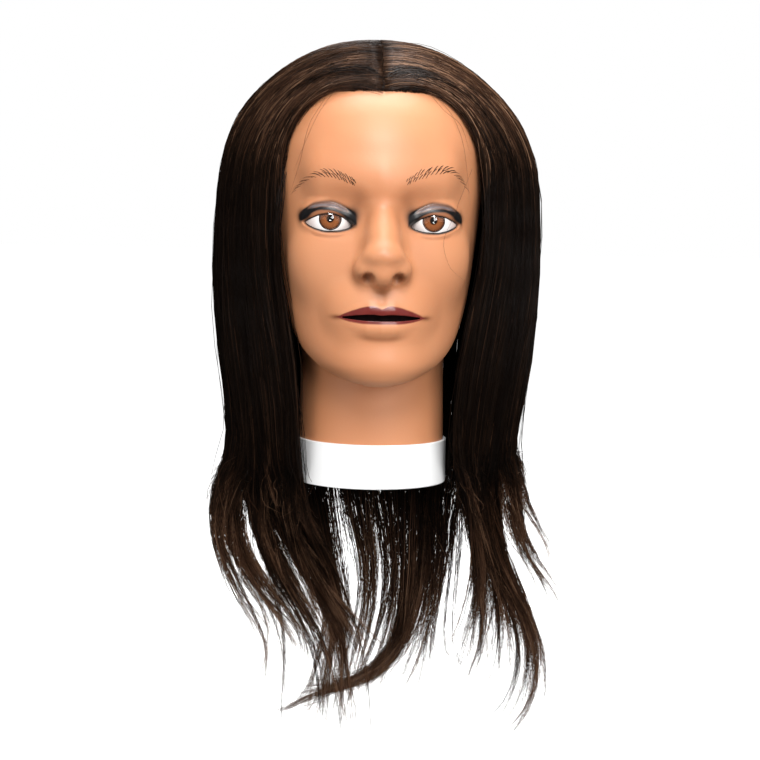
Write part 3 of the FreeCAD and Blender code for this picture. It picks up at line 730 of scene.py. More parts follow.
def inside_material():
    """The hollows of the mouth and behind the eyes, painted near black: painted shade inside them."""
    material, tree, shader = start_material("hollow_dark", Roughness=0.8, Specular_IOR_Level=0.05)
    feed(tree, shader.inputs["Base Color"], wander(tree, 200, (0.006, 0.003, 0.003), (0.014, 0.006, 0.006)))
    return material


def mottled(name, dark, light, scale, rough, grain=0.0, **sockets):
    """A material whose colour and roughness wander between two values, with a fine grain."""
    material, tree, shader = start_material(name, **sockets)
    feed(tree, shader.inputs["Base Color"], wander(tree, scale, dark, light, 4))
    feed(tree, shader.inputs["Roughness"], wander(tree, scale * 3, *rough))
    if grain:
        bump(tree, shader, noise(tree, scale * 12, 4), grain, 0.0003)
    return material


def foam_material():
    """Rigid foam with closed cells."""
    material, tree, shader = start_material("foam_cells", Roughness=0.85)
    cells = add_node(tree, "TexVoronoi", Scale=700.0, Vector=own_space(tree)).outputs["Distance"]
    colour = ramp(tree, cells, [(0.1, (0.66, 0.56, 0.34)), (0.6, (0.80, 0.70, 0.46))])
    feed(tree, shader.inputs["Base Color"], colour)
    bump(tree, shader, cells, 0.5, 0.0006)
    return material


def around_iris(tree, side):
    """The way out from the iris's middle, in metres, and the angle round it."""
    middle = (-side * EYE_AT[0] * MM, 0, -EYE_AT[2] * MM)
    shift = add_node(tree, "Mapping", Vector=own_space(tree), Location=middle, Scale=(1, 0, 1))
    length = add_node(tree, "VectorMath", operation="LENGTH")
    feed(tree, length.inputs[0], shift.outputs["Vector"])
    parts = add_node(tree, "SeparateXYZ", Vector=shift.outputs["Vector"])
    return length.outputs["Value"], arithmetic(tree, "ARCTAN2", parts.outputs["X"], parts.outputs["Z"])


def iris_material(side):
    """A printed iris: brown with fine spokes, a lighter middle and a dark ring round it."""
    material, tree, shader = start_material(
        f"iris_print_{SIDE_NAMES[side]}", Roughness=0.5, Specular_IOR_Level=0.0,
    )
    length, angle = around_iris(tree, side)
    spokes = add_node(tree, "TexNoise", noise_dimensions="1D", W=angle, Scale=9.0, Detail=5.0, Roughness=0.7)
    share = arithmetic(tree, "MULTIPLY_ADD", length, 1 / (MM * IRIS_RADIUS), -0.13)
    share = arithmetic(tree, "MULTIPLY_ADD", spokes.outputs["Fac"], 0.26, share)
    colour = ramp(tree, share, [
        (0.26, (0.10, 0.030, 0.010)),
        (0.42, (0.30, 0.098, 0.030)),
        (0.72, (0.235, 0.076, 0.024)),
        (0.86, (0.115, 0.036, 0.013)),
        (0.97, (0.012, 0.006, 0.004)),
    ])
    feed(tree, shader.inputs["Base Color"], colour)
    return material


def eye_white_material(side):
    """Polished acrylic, faintly pink and darker towards the corners, with painted shade where the lids close
    over it.
    """
    material, tree, shader = start_material(f"eye_white_{SIDE_NAMES[side]}", Roughness=0.12)
    length, _ = around_iris(tree, side)
    share = arithmetic(tree, "MULTIPLY", length, 1 / (MM * EYE_RADIUS))
    # pale in the middle, then a pink tint darkened by painted shade towards the lids
    pale = ramp(tree, share, [(0.4, (0.86, 0.85, 0.84)), (0.95, (0.62, 0.47, 0.42))])
    veins = ramp(tree, noise(tree, 220, 5), [(0.4, 1.0), (0.75, (0.93, 0.88, 0.87))])
    feed(tree, shader.inputs["Base Color"], blend_colour(tree, 1.0, pale, veins, "MULTIPLY"))
    return material


def cornea_material():
    """Clear acrylic: it lets the iris through and only its surface shines, most at its rim."""
    material, tree, shader = start_material("cornea_clear", Roughness=0.03, Metallic=1.0)
    facing = add_node(tree, "LayerWeight", Blend=0.5).outputs["Facing"]
    glint = arithmetic(tree, "MULTIPLY_ADD", arithmetic(tree, "POWER", facing, 4.0), 0.2, 0.08)
    feed(tree, shader.inputs["Alpha"], glint)
    feed(tree, shader.inputs["Base Color"], wander(tree, 300, (0.94, 0.95, 0.97), 1.0))
    return material


def cover(material, *nodes):
    """Gives CAD nodes that stay in view a better material."""
    for node in nodes:
        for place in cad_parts[node].material_slots:
            place.material = material


def cover_nodes():
    white = mottled("cup_plastic", (0.88, 0.88, 0.875), (0.93, 0.93, 0.925), 30, (0.32, 0.42), 0.1)
    zinc = mottled("zinc", (0.50, 0.50, 0.51), (0.66, 0.66, 0.67), 300, (0.25, 0.4), 0.1, Metallic=1.0)
    latex = mottled("latex", (0.42, 0.33, 0.19), (0.52, 0.42, 0.27), 60, (0.45, 0.6), 0.3)
    cover(white, "base_cup", "socket_tube", "socket_cap")
    cover(zinc, "base_screws")
    cover(latex, "scalp_backing")
    cover(foam_material(), "foam_core")
    pupil = mottled(
        "pupil_black", (0.002, 0.002, 0.002), (0.006, 0.005, 0.005), 500, (0.4, 0.5), Specular_IOR_Level=0.0,
    )
    for side, name in SIDE_NAMES.items():
        cover(eye_white_material(side), f"{name}_eye_dome")
        cover(iris_material(side), f"{name}_iris")
        cover(pupil, f"{name}_pupil")


CORNEA_RADIUS = 10.0
CORNEA_RINGS, CORNEA_SIDES = 20, 64


def make_corneas():
    """The clear cap over each iris: a smooth dome with a flat back."""
    material = cornea_material()
    low, high = node_box("left_cornea")
    widest = math.asin((high[0] - low[0]) / 2 / CORNEA_RADIUS)
    tilt = np.linspace(0.02, widest, CORNEA_RINGS)[:, None]
    turn = np.arange(CORNEA_SIDES) * 2 * math.pi / CORNEA_SIDES
    dome = np.stack([
        np.sin(tilt) * np.cos(turn),
        -np.cos(tilt) * np.ones_like(turn),
        np.sin(tilt) * np.sin(turn),
    ], -1) * CORNEA_RADIUS
    ring, spoke = np.meshgrid(np.arange(CORNEA_RINGS - 1), np.arange(CORNEA_SIDES), indexing="ij")
    after = (spoke + 1) % CORNEA_SIDES
    here, beyond = ring * CORNEA_SIDES, (ring + 1) * CORNEA_SIDES
    quads = np.stack([here + spoke, here + after, beyond + after, beyond + spoke], -1).reshape(-1, 4)
    front = np.arange(CORNEA_SIDES)[None, ::-1]
    back = (CORNEA_RINGS - 1) * CORNEA_SIDES + np.arange(CORNEA_SIDES)[None]
    for side, name in SIDE_NAMES.items():
        middle = np.array([side * EYE_AT[0], low[1] + CORNEA_RADIUS, EYE_AT[2]])
        thing = put_mesh(f"{name}_clear_dome", dome + middle, [quads, front, back], [material])
        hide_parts(f"{name}_cornea")
        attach(thing, "root")


# ---------------------------------------------------------------- hair

# The hair's outer surface and the room inside it, as level rings like the skull's.
HAIR_RINGS = [
    (-20, 108, 49, 104),
    (20, 105, 49, 108),
    (40, 105, 50, 111),
    (70, 107, 53, 115),
    (105, 108.5, 55, 119),
    (138, 109, 58, 121),
    (165, 108, 60, 121),
    (190, 106, 64, 120),
    (214, 102, 69, 117),
    (236, 94, 68.5, 111),
    (254, 81.5, 62, 99),
    (268, 66, 51, 83),
    (279, 49.5, 38, 66),
    (286.5, 29, 20, 44),
    (289.5, 9, 0, 20),
]
ROOM_RINGS = [
    (-20, 56, 44, 62),
    (60, 56, 44, 64),
    (90, 58, 44, 78),
    (120, 63, 52, 88),
    (150, 68, 62, 97),
    (196, 72, 80, 104),
]
# The opening for the face: height, then half width, up to the ends of the straight hairline.
WINDOW = [
    (-60, 54), (60, 52.5), (92, 52), (105, 57.5), (119, 62), (134, 65), (158, 67), (182, 66.5), (205, 63.5),
    (226, 57), (239, 48.5), (247, 37.5), (250, 29),
]
EQUATOR = 196.0  # where the hair leaves the dome of the head and hangs
DOME_CENTRE = np.array([0.0, 15.0, 180.0])
HANG_END = 20.0  # where the hanging hair parts into locks
DOME_POINTS, HANG_POINTS, LOCK_POINTS = 12, 6, 10  # of each hair
ROUTE_STEPS = 40  # of each lock's route
TABLES["hair"] = ring_table(HAIR_RINGS)
TABLES["room"] = ring_table(ROOM_RINGS)

# Each lock: the turn from the face where it starts, in degrees (positive on the head's left), how full it
# stays towards its tip, then its route below its start.
LOCKS = {
    "left_outer": (88, 1.0, [(97, 20, 4), (102, 20, -13), (112, 20, -31), (120, 20, -50), (122, 20, -62)]),
    "left_tip": (76, 0.8, [
        (96, 22, -4), (102, 24, -39), (118, 25, -67), (128, 25, -83), (134, 25, -96), (133, 25, -104),
    ]),
    "left_long": (64, 1.1, [
        (84, 26, -19), (87, 30, -54), (104, 32, -83), (117, 32, -111), (122, 32, -133), (120, 30, -153),
        (111, 30, -171), (98, 30, -187),
    ]),
    "left_middle": (52, 1.0, [(76, 20, -20), (86, 30, -55), (94, 35, -90), (96, 35, -122), (88, 35, -146)]),
    "left_inner": (40, 0.9, [(72, 6, -20), (80, 25, -55), (84, 32, -90), (79, 35, -119), (79, 35, -149)]),
    "left_rear": (102, 1.0, [(82, 50, -20), (84, 48, -55), (90, 46, -88), (93, 44, -116)]),
    "left_nape": (114, 1.0, [(80, 60, -20), (83, 58, -52), (87, 56, -82), (90, 54, -106)]),
    "back_wisp": (124, 0.5, [
        (61, 80, -4), (61, 74, -55), (60, 72, -91), (54, 72, -120), (51, 72, -142), (57, 72, -152),
        (62, 72, -147),
    ]),
    "back_right_turn": (133, 1.4, [
        (52, 82, -4), (50, 74, -40), (55, 72, -69), (49, 72, -98), (44, 72, -128), (36, 72, -157),
        (28, 72, -172),
    ]),
    "middle": (158, 3.2, [
        (36, 90, -5), (37, 80, -41), (36, 76, -78), (32, 75, -114), (24, 75, -144), (8, 75, -161),
        (-12, 75, -167), (-28, 75, -161), (-38, 75, -162), (-46, 75, -174), (-56, 75, -181),
    ]),
    "middle_back": (175, 1.6, [
        (16, 95, -5), (20, 88, -43), (24, 84, -78), (22, 82, -108), (12, 80, -140), (4, 80, -165),
    ]),
    "slit": (-166, 1.2, [
        (-8, 92, -6), (-2, 84, -43), (6, 82, -72), (7, 80, -108), (0, 80, -138), (-5, 80, -168),
        (-10, 80, -194),
    ]),
    "back_curl": (-150, 1.8, [
        (-31, 86, -6), (-27, 78, -42), (-18, 75, -78), (-14, 75, -115), (-20, 75, -144), (-27, 75, -168),
        (-24, 75, -184), (-34, 75, -191), (-52, 75, -184),
    ]),
    "right_nape": (-132, 1.2, [
        (-52, 78, -19), (-42, 74, -52), (-28, 70, -85), (-18, 66, -115), (-12, 64, -150),
    ]),
    "right_back": (-116, 1.2, [
        (-76, 62, -19), (-62, 62, -55), (-44, 60, -88), (-30, 58, -118), (-26, 56, -146),
    ]),
    "right_rear": (-102, 0.9, [
        (-95, 42, -19), (-88, 42, -50), (-70, 42, -82), (-52, 42, -106), (-44, 42, -128),
    ]),
    "right_outer": (-88, 0.45, [
        (-100, 20, -19), (-97, 20, -47), (-84, 20, -74), (-72, 20, -92), (-58, 20, -107), (-56, 20, -126),
        (-63, 20, -144),
    ]),
    "right_second": (-76, 0.5, [
        (-93, 20, -20), (-88, 24, -54), (-72, 25, -82), (-56, 25, -99), (-48, 25, -117), (-51, 25, -134),
        (-56, 25, -152),
    ]),
    "right_middle": (-64, 0.8, [
        (-76, 14, -21), (-68, 26, -55), (-53, 30, -84), (-38, 30, -103), (-30, 30, -125), (-29, 30, -153),
        (-23, 30, -180),
    ]),
    "right_inner": (-52, 1.0, [
        (-60, 4, -21), (-47, 25, -57), (-30, 34, -87), (-15, 35, -111), (-6, 35, -128),
    ]),
    "right_edge": (-40, 1.1, [
        (-46, -8, -22), (-32, 22, -52), (-20, 40, -84), (-14, 45, -122), (-8, 45, -158), (-8, 45, -190),
    ]),
}


def window_half(z):
    return between(z, WINDOW)


def ring_point(table, turn, z):
    half, front, back = ring_sizes(table, z)
    return np.stack([half * np.sin(turn), (back - front) / 2 - (front + back) / 2 * np.cos(turn), z], -1)


# How far the hair stands out past its rings on each side of the head, by height.
FULLER = {
    1: [(-20, 0), (20, -6), (45, -2), (90, 5), (200, 6), (245, 4), (291, 0)],
    -1: [(-20, -6), (20, -12), (60, -7), (100, -2), (200, -1), (291, 0)],
}


def fuller(side, point):
    out = np.clip(np.abs(point[..., 0]) / 100, 0, 1) ** 2
    point[..., 0] += side * between(point[..., 2], FULLER[side]) * out
    return point


def hang_point(side, turn, z, layer):
    """A point of the hanging hair: layer 0 is next to the head and 1 is the outside."""
    inner = ring_point(TABLES["room"], turn, z)
    outer = ring_point(TABLES["hair"], turn, z)
    point = mix(inner, outer, layer[..., None])
    hold = 1 - smooth_step(10, 50, point[..., 1])
    least = (window_half(z) + 5 * (1 - layer)) * hold
    point[..., 0] = side * np.maximum(point[..., 0], least)
    return fuller(side, point)


def dome_reach(table, way):
    """How far a surface is from the dome's centre along each direction."""
    low, high = np.full(way.shape[:-1], 20.0), np.full(way.shape[:-1], 170.0)
    for _ in range(HALVINGS):
        middle = (low + high) / 2
        point = DOME_CENTRE + way * middle[..., None]
        x, y, z = np.moveaxis(point, -1, 0)
        inside = (ring_level(table, x, y, z)[0] < 1) & (z < table[0][-1])
        low, high = np.where(inside, middle, low), np.where(inside, high, middle)
    return low


def unit(vectors):
    return vectors / np.linalg.norm(vectors, axis=-1, keepdims=True)


def dome_path(side, root, bend, end, layer, first, lift):
    """Hair over the dome of the head: from near root, by way of bend, to end.

    first is the share of the way that it starts at, and lift is how far up its layer it starts."""
    share = mix(first[:, None], 1.0, np.linspace(0, 1, DOME_POINTS)[None] ** 1.25)
    way = [unit(p - DOME_CENTRE)[:, None] for p in (root, bend, end)]
    t = share[..., None]
    way = unit(way[0] * (1 - t) ** 2 + way[1] * 2 * t * (1 - t) + way[2] * t**2)
    skull = dome_reach(TABLES["skull"], way)
    outside = dome_reach(TABLES["hair"], way)
    rise = mix(lift, 1.0, smooth_step(-0.02, 0.16, share - first[:, None]))
    reach = mix(skull - 0.5, np.maximum(outside, skull + 1.5), layer[:, None] * rise)
    return fuller(side, DOME_CENTRE + way * reach[..., None])


def lock_routes():
    """Each lock's turn, fullness and route on even steps, from HANG_END down."""
    turns, fullness, routes = [], [], []
    for turn, full, points in LOCKS.values():
        side = 1 if turn > 0 else -1
        angle = np.radians(abs(turn))
        start = hang_point(side, np.array([angle]), np.array([HANG_END]), np.array([0.72]))[0]
        points = np.array([start, *points], float)
        routes.append(monotone(shares_along(points), points, np.linspace(0, 1, ROUTE_STEPS + 1)))
        turns.append(np.radians(turn))
        fullness.append(full)
    return np.array(turns), np.array(fullness), np.array(routes)


LOCK_TURNS, LOCK_FULLNESS, LOCK_ROUTES = lock_routes()
WISP = 24  # hairs in a wisp
WIDEST = node_box("lock_left_outer")[1][0] + 3  # curls on the head's left are drawn in past here
DRAWN_IN = 12.0  # the most that a curl gets past WIDEST


def wisps(keys):
    """A wisp number for each hair, so that neighbours in the sorted keys share a wisp."""
    order = np.lexsort(keys)
    number = np.empty(len(order), int)
    number[order] = np.arange(len(order)) // WISP
    return number


def sway(rng, wisp, points, size):
    """A slow wander shared by a wisp of hairs, with a little of each hair's own; size is in millimetres."""
    along = np.linspace(0, 1, points)
    count = len(wisp)
    total = np.zeros((count, points, 3))
    for share, index in ((1.0, wisp), (0.4, np.arange(count))):
        number = index.max() + 1
        for waves in (1.3, 2.9, 6.1):
            phase = rng.uniform(0, 2 * math.pi, (number, 1, 3))
            speed = waves * rng.uniform(0.7, 1.3, (number, 1, 3))
            wave = np.sin(2 * math.pi * speed * along[None, :, None] + phase) / waves
            total += share * wave[index]
    return total * size * (0.12 + along[None, :, None] ** 1.3)


def curl(rng, wisp, share, full):
    """How far each wisp winds off its lock's route, more and more towards its tip. A few hairs stray."""
    number = wisp.max() + 1
    phase = rng.uniform(0, 2 * math.pi, (number, 1))[wisp]
    speed = rng.uniform(0.9, 1.7, (number, 1))[wisp] * 2 * math.pi
    size = 5.5 * rng.uniform(0.3, 1.0, (number, 1))[wisp] * share**2 / np.maximum(full, 0.8)[:, None]
    stray = rng.uniform(0, 1, (len(wisp), 1)) < 0.04
    size = size * np.where(stray, 2.4, 1.0)
    phase = phase + np.where(stray, 1.2, 0.0)
    angle = phase + speed * share
    return np.stack([size * np.cos(angle), size * np.sin(angle), 0.3 * size * np.sin(angle)], -1)


def follow_locks(rng, start, lock, wisp, reach):
    """Hair below HANG_END: each wisp drifts from where it hangs into the route of its lock."""
    share = np.linspace(0, 1, LOCK_POINTS + 1)[1:][None] * reach[:, None]
    spot = share * ROUTE_STEPS
    low = np.clip(spot.astype(int), 0, ROUTE_STEPS - 1)
    route = LOCK_ROUTES[lock[:, None], low]
    route = mix(route, LOCK_ROUTES[lock[:, None], low + 1], (spot - low)[..., None])
    offset = start - LOCK_ROUTES[lock, 0]
    number = wisp.max() + 1
    size = np.bincount(wisp, minlength=number)[:, None]
    shared = np.stack([np.bincount(wisp, offset[:, i], number) for i in range(3)], -1) / np.maximum(size, 1)
    drift = rng.normal(0, 1, (number, 3)) * np.array([9.0, 7.0, 3.0])
    own = offset - shared[wisp]
    winding = curl(rng, wisp, share, LOCK_FULLNESS[lock])
    share = share[..., None]
    return (
        route
        + winding
        + shared[wisp][:, None] * (0.12 + 0.88 * (1 - share) ** 1.8)
        + (drift[wisp] / LOCK_FULLNESS[lock, None] ** 0.6)[:, None] * share**1.6
        + own[:, None] * (0.08 + 0.92 * (1 - share) ** 1.6)
    )


def window_turn(z):
    """The turn from the face where the hair starts beside the window, at each height."""
    return np.arcsin(window_half(z) / ring_sizes(TABLES["hair"], z)[0])


def comb(rng, side, roots, bends, turn, layer, first, lift):
    """Whole hairs and their tones: over the dome, down past the face, then into a lock."""
    count = len(roots)
    window = window_turn(np.full(count, EQUATOR))
    share = (turn - window) / (math.pi - window)
    end = hang_point(side, turn, np.full(count, EQUATOR), np.ones(count))
    dome = dome_path(side, roots, bends, end, layer, first, lift)
    heights = np.linspace(EQUATOR, HANG_END, HANG_POINTS + 1)[1:]
    levels = np.broadcast_to(heights, (count, HANG_POINTS))
    edge = window_turn(levels)
    angles = edge + share[:, None] * (math.pi - edge)
    hang = hang_point(side, angles, levels, np.broadcast_to(layer[:, None], levels.shape))
    away = np.abs(LOCK_TURNS[None] - (side * turn + rng.normal(0, 0.06, count))[:, None])
    lock = np.minimum(away, 2 * math.pi - away).argmin(1)
    wisp = wisps((turn, np.round(layer, 1), lock))
    full = LOCK_FULLNESS[lock]
    length = rng.uniform(0, 1, wisp.max() + 1)[wisp] ** (1 / full)
    reach = np.clip(0.27 + 0.8 * length - rng.exponential(0.07, count), 0.15, 1)
    low = follow_locks(rng, hang[:, -1], lock, wisp, reach)
    path = np.concatenate([dome, hang, low], 1)
    for _ in range(2):
        path[:, 1:-1] = (path[:, :-2] + 2 * path[:, 1:-1] + path[:, 2:]) / 4
    loose = np.where(rng.uniform(0, 1, count) < 0.03, 3.0, 1.0)
    tone = 0.30 * rng.beta(1.5, 2.6, wisp.max() + 1)[wisp] + 0.62 * rng.beta(0.7, 3.8, count)
    path = path + sway(rng, wisp, path.shape[1], 2.4) * loose[:, None, None]
    over = path[..., 0] - WIDEST
    path[..., 0] = np.where(over > 0, WIDEST + DRAWN_IN * np.tanh(over / DRAWN_IN), path[..., 0])
    return path, tone


def skull_front(x, z):
    half, front, back = ring_sizes(TABLES["skull"], z)
    flat = np.sqrt(np.clip(1 - (x / half) ** 2, 0, 1))
    return (back - front) / 2 - (front + back) / 2 * flat


# The hairline on one side, from the parting to the temple: out from the middle, and height.
HAIRLINE = [(-1.5, HAIRLINE_HEIGHT - 0.4), (29, 250), (37, 247), (48, 239), (56.5, 226), (62.5, 207)]


def hairline_hairs(rng, side, count):
    """Hair rooted along the hairline, which rises and then sweeps out and down beside the face."""
    along = rng.uniform(0, 1, count) ** 1.1
    place = monotone(shares_along(HAIRLINE), HAIRLINE, along)
    behind = rng.uniform(0, 5, count)
    x, z = place[:, 0] + behind * along * 0.6, place[:, 1] + behind * (1 - along) * 0.7
    root = np.stack([side * x, skull_front(x, z), z], -1)
    lift = 1 - along
    out = x * 1.12 + 0.4 + 12 * lift * smooth_step(0, 22, x)
    bend = np.stack([side * out, root[:, 1] + 4 + 16 * lift, z + 6 + 34 * lift], -1)
    turn = np.radians(37 + 24 * lift**1.2 + rng.normal(0, 2.2, count))
    layer = np.clip(0.55 + 0.45 * lift + rng.normal(0, 0.1, count) - behind * 0.01, 0.25, 1)
    path, tone = comb(rng, side, root, bend, np.maximum(turn, 0.61), layer, np.zeros(count), 0.12)
    # hairs towards the parting are darkened, painted shade for the dark band where they rise from the
    # hairline
    return path, tone - 0.22 * np.sqrt(lift), turn


def parting_hairs(rng, side, count, low_turn, high_turn):
    """Hair that runs from the parting, or from scalp below it, over the side or the back of the head."""
    turn = np.radians(rng.uniform(low_turn, high_turn, count))
    back = np.clip((np.degrees(turn) - 40) / 140, 0, 1) ** 0.9
    rise = np.radians(mix(46, 108, back) + rng.normal(0, 2, count))
    root = DOME_CENTRE + 100 * np.stack([np.zeros(count), -np.cos(rise), np.sin(rise)], -1)
    root[:, 0] = side * rng.uniform(0.1, 1.4, count)
    bend_x = 60 * np.sin(np.clip(turn, 0.9, 3.14)) ** 0.9
    bend = np.stack([side * bend_x, mix(-46, 75, back), np.full(count, 268.0)], -1)
    first = np.where(rng.uniform(0, 1, count) < 0.5, 0, rng.uniform(0, 0.75, count))
    layer = np.clip(1 - rng.exponential(0.16, count), 0.2, 1)
    return *comb(rng, side, root, bend, turn, layer, first, 0.92), turn


SIDES = 3  # of each hair's rod


def hair_mesh(name, paths, width, tone, material):
    """Hairs as thin three-sided rods, closed at both ends."""
    count, points = paths.shape[:2]
    way = unit(np.gradient(paths, axis=1) + 1e-9)
    guide = unit(np.array([0.3, 0.9, 0.31]) * np.ones_like(way))
    across = unit(np.cross(way, guide) + 1e-9)
    other = np.cross(way, across)
    angles = np.arange(SIDES) * 2 * math.pi / SIDES
    ring = across[:, :, None] * np.cos(angles)[:, None] + other[:, :, None] * np.sin(angles)[:, None]
    along = np.linspace(0, 1, points)
    taper = (0.75 + 0.25 * np.sin(math.pi * np.minimum(along * 2, 1) / 2)) * (1 - 0.85 * along**4)
    radius = width[:, None] * taper[None]
    skin = paths[:, :, None] + ring * radius[..., None, None]
    base = (np.arange(count) * points * SIDES)[:, None, None]
    step, side = np.meshgrid(np.arange(points - 1), np.arange(SIDES), indexing="ij")
    turned = (side + 1) % SIDES
    quads = np.stack([step * SIDES + side, step * SIDES + turned, (step + 1) * SIDES + turned,
                      (step + 1) * SIDES + side], -1).reshape(1, -1, 4) + base
    tip = (points - 1) * SIDES
    ends = np.array([[2, 1, 0], [tip, tip + 1, tip + 2]])[None] + base
    thing = put_mesh(name, skin, [quads.reshape(-1, 4), ends.reshape(-1, 3)], [material])
    paint_points(thing, "tone", np.repeat(tone, points * SIDES))
    paint_points(thing, "along", np.tile(np.repeat(along, SIDES), count))
    return thing


def hair_material():
    """Dark brown hair: each hair has its own tone. Along it, painted shade makes it darker at the root and
    darkest where it hangs, a painted sheen makes it lighter over the dome, and it is lightest at its tip.
    """
    material, tree, shader = start_material("hair_brown", Roughness=0.35, IOR=1.5, Specular_IOR_Level=0.2)
    tone = add_node(tree, "Attribute", attribute_name="tone").outputs["Fac"]
    along = add_node(tree, "Attribute", attribute_name="along").outputs["Fac"]
    streak = arithmetic(tree, "MULTIPLY_ADD", noise(tree, 60, 3, 0.6, (1, 1, 0.15)), 0.35, tone)
    # painted light along each hair: shade at the root and where it hangs, sheen over the dome; lighter at the
    # tip
    fade = ramp(tree, along, [
        (0.0, 0.26), (0.07, 0.38), (0.22, 0.30), (0.42, 0.0), (0.68, 0.05), (0.84, 0.30), (1.0, 0.52),
    ])
    colour = ramp(tree, arithmetic(tree, "ADD", fade, streak), [
        (0.3, (0.0038, 0.0018, 0.0010)),
        (0.55, (0.012, 0.0060, 0.0033)),
        (0.8, (0.070, 0.032, 0.0170)),
        (1.0, (0.26, 0.145, 0.085)),
    ])
    feed(tree, shader.inputs["Base Color"], colour)
    return material


# Single hairs that have strayed over the face: out from its middle and height, from the root down.
STRAY_HAIRS = [
    (-1, [(31, 250), (40, 236), (48, 218), (55, 200)]),
    (-1, [(36, 246), (46, 228), (51, 206), (57, 186)]),
    (1, [(33, 249), (43, 238), (50, 222), (54, 202), (57, 180)]),
    (1, [(30, 250), (38, 240), (49, 232), (56, 214)]),
    (1, [(58, 205), (47, 180), (38, 158), (42, 144), (57, 132)]),
]


STRAY_POINTS = 24


def make_stray_hairs(material):
    paths = []
    for side, points in STRAY_HAIRS:
        numbers = np.linspace(0, len(points) - 1, STRAY_POINTS)
        out, up = monotone(np.arange(len(points)), points, numbers).T
        lift = 0.5 + 1.5 * np.sin(np.linspace(0, math.pi, STRAY_POINTS))
        depth = front_depth(side * out, up) - lift
        paths.append(np.stack([side * out, depth, up], -1))
    count = len(paths)
    thing = hair_mesh("stray_hairs", np.array(paths), np.full(count, 0.09), np.full(count, 0.3), material)
    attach(thing, "root")


# The turns from the face, in degrees, where the hairs of each piece hang.
HAIR_PIECES = {
    "hair_front": (0.0, 60.0),
    "hair_side": (60.0, 115.0),
    "hair_back": (115.0, 181.0),
}
HAIRS_PER_PIECE = 1190  # about 195,000 triangles
HAIRLINE_COUNT, PARTING_COUNT = 2400, 5400
# The pieces of hair that also stand for CAD locks.
LOCK_OWNERS = {
    "hair_front_left": ["lock_left_long"],
    "hair_side_left": ["lock_left_outer"],
    "hair_back_left": ["lock_left_inner", "lock_middle"],
    "hair_front_right": ["lock_right_inner"],
    "hair_side_right": ["lock_right_outer"],
}


def make_hair():
    rng = np.random.default_rng(7)
    material = hair_material()
    make_stray_hairs(material)
    for side, side_name in SIDE_NAMES.items():
        sets = [
            hairline_hairs(rng, side, HAIRLINE_COUNT),
            parting_hairs(rng, side, PARTING_COUNT, 38, 179),
            parting_hairs(rng, side, PARTING_COUNT // 4, 38, 80),
        ]
        paths, tones, turns = map(np.concatenate, zip(*sets))
        turn = np.degrees(turns)
        for piece, (low, high) in HAIR_PIECES.items():
            chosen = np.flatnonzero((turn >= low) & (turn < high))
            owner = f"{piece}_{side_name}"
            for number in range(0, len(chosen), HAIRS_PER_PIECE):
                part = chosen[number:number + HAIRS_PER_PIECE]
                name = owner + "_hairs" + ("" if number == 0 else f"_{number // HAIRS_PER_PIECE + 1}")
                width = rng.uniform(0.13, 0.24, len(part))
                thing = hair_mesh(name, paths[part], width, tones[part], material)
                if number == 0:
                    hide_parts(owner, *LOCK_OWNERS.get(owner, []))
                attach(thing, "root")


# ---------------------------------------------------------------- brows

# The middle line of each brow: out from the face's middle, and height.
BROWS = [
    (1, [(13.5, 194.6), (19.4, 197.6), (26, 199.8), (34, 202.2), (40, 202.0), (46, 199.0), (52.5, 193.8)]),
    (-1, [(17, 193.6), (22, 195.8), (27, 197.4), (33, 198.6), (39, 197.9), (47.8, 194.0), (53.4, 188.9)]),
]
BROW_SLANT = [(0, 58), (0.3, 52), (0.5, 38), (0.72, 0), (1, -40)]  # degrees, along the brow
BROW_LENGTH = [(0, 3.2), (0.15, 4.6), (0.5, 6.0), (1, 5.8)]
BROW_STROKES = 34


def make_brows():
    """Brows painted as fine slanting strokes, each a thin ridge of paint on the skin."""
    rng = np.random.default_rng(11)
    material = mottled(
        "brow_paint", (0.016, 0.006, 0.0035), (0.035, 0.014, 0.008), 400, (0.5, 0.6), Specular_IOR_Level=0.2,
    )
    for side, line in BROWS:
        share = ((np.arange(BROW_STROKES) + rng.uniform(0.2, 0.8, BROW_STROKES)) / BROW_STROKES) ** 1.2
        place = monotone(np.linspace(0, 1, len(line)), line, share)
        slant = np.radians(between(share, BROW_SLANT) + rng.normal(0, 4, BROW_STROKES))
        length = between(share, BROW_LENGTH) * rng.uniform(0.75, 1.1, BROW_STROKES)
        thick = 1 - 0.75 * smooth_step(0.45, 0.8, share)
        row = np.arange(BROW_STROKES) % 2
        start_up = (rng.normal(0, 0.25, BROW_STROKES) - 2.2 * row) * thick
        steps = np.linspace(0, 1, 7)
        along = steps[None] * length[:, None]
        across = side * (place[:, 0, None] + along * np.cos(slant)[:, None])
        bow = 0.10 * length[:, None] * steps * (1 - steps) * 4
        up = (place[:, 1] + start_up)[:, None] + along * np.sin(slant)[:, None] + bow
        path = np.stack([across, front_depth(across, up), up], -1)
        width = 0.37 - 0.2 * smooth_step(0.45, 0.85, share)
        thing = hair_mesh(f"brow_{SIDE_NAMES[side]}", path, width, share, material)
        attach(thing, "root")


# ---------------------------------------------------------------- pieces

def make_skin():
    points, faces, paint, sign = skin_mesh()
    skin = put_mesh("skin", points, faces, [skin_material(), inside_material()])
    paint_points(skin, "paint", paint, "FLOAT_COLOR")
    dark = np.concatenate([(sign[f] < 0).any(1) for f in faces]).astype(np.int32)
    skin.data.polygons.foreach_set("material_index", dark)
    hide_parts("vinyl_skin")
    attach(skin, "root")


cover_nodes()
make_corneas()
make_skin()
make_brows()
make_hair()


# ---------------------------------------------------------------- studio

SOFT_LIGHT = 0.44  # what the world gives as a light
SHINE_LIGHT = 0.12  # what it looks like in a reflection
FLOOR_SIZE = 60  # metres
FLOOR_GAP = 0.03  # metres, from the lowest hair down to the floor
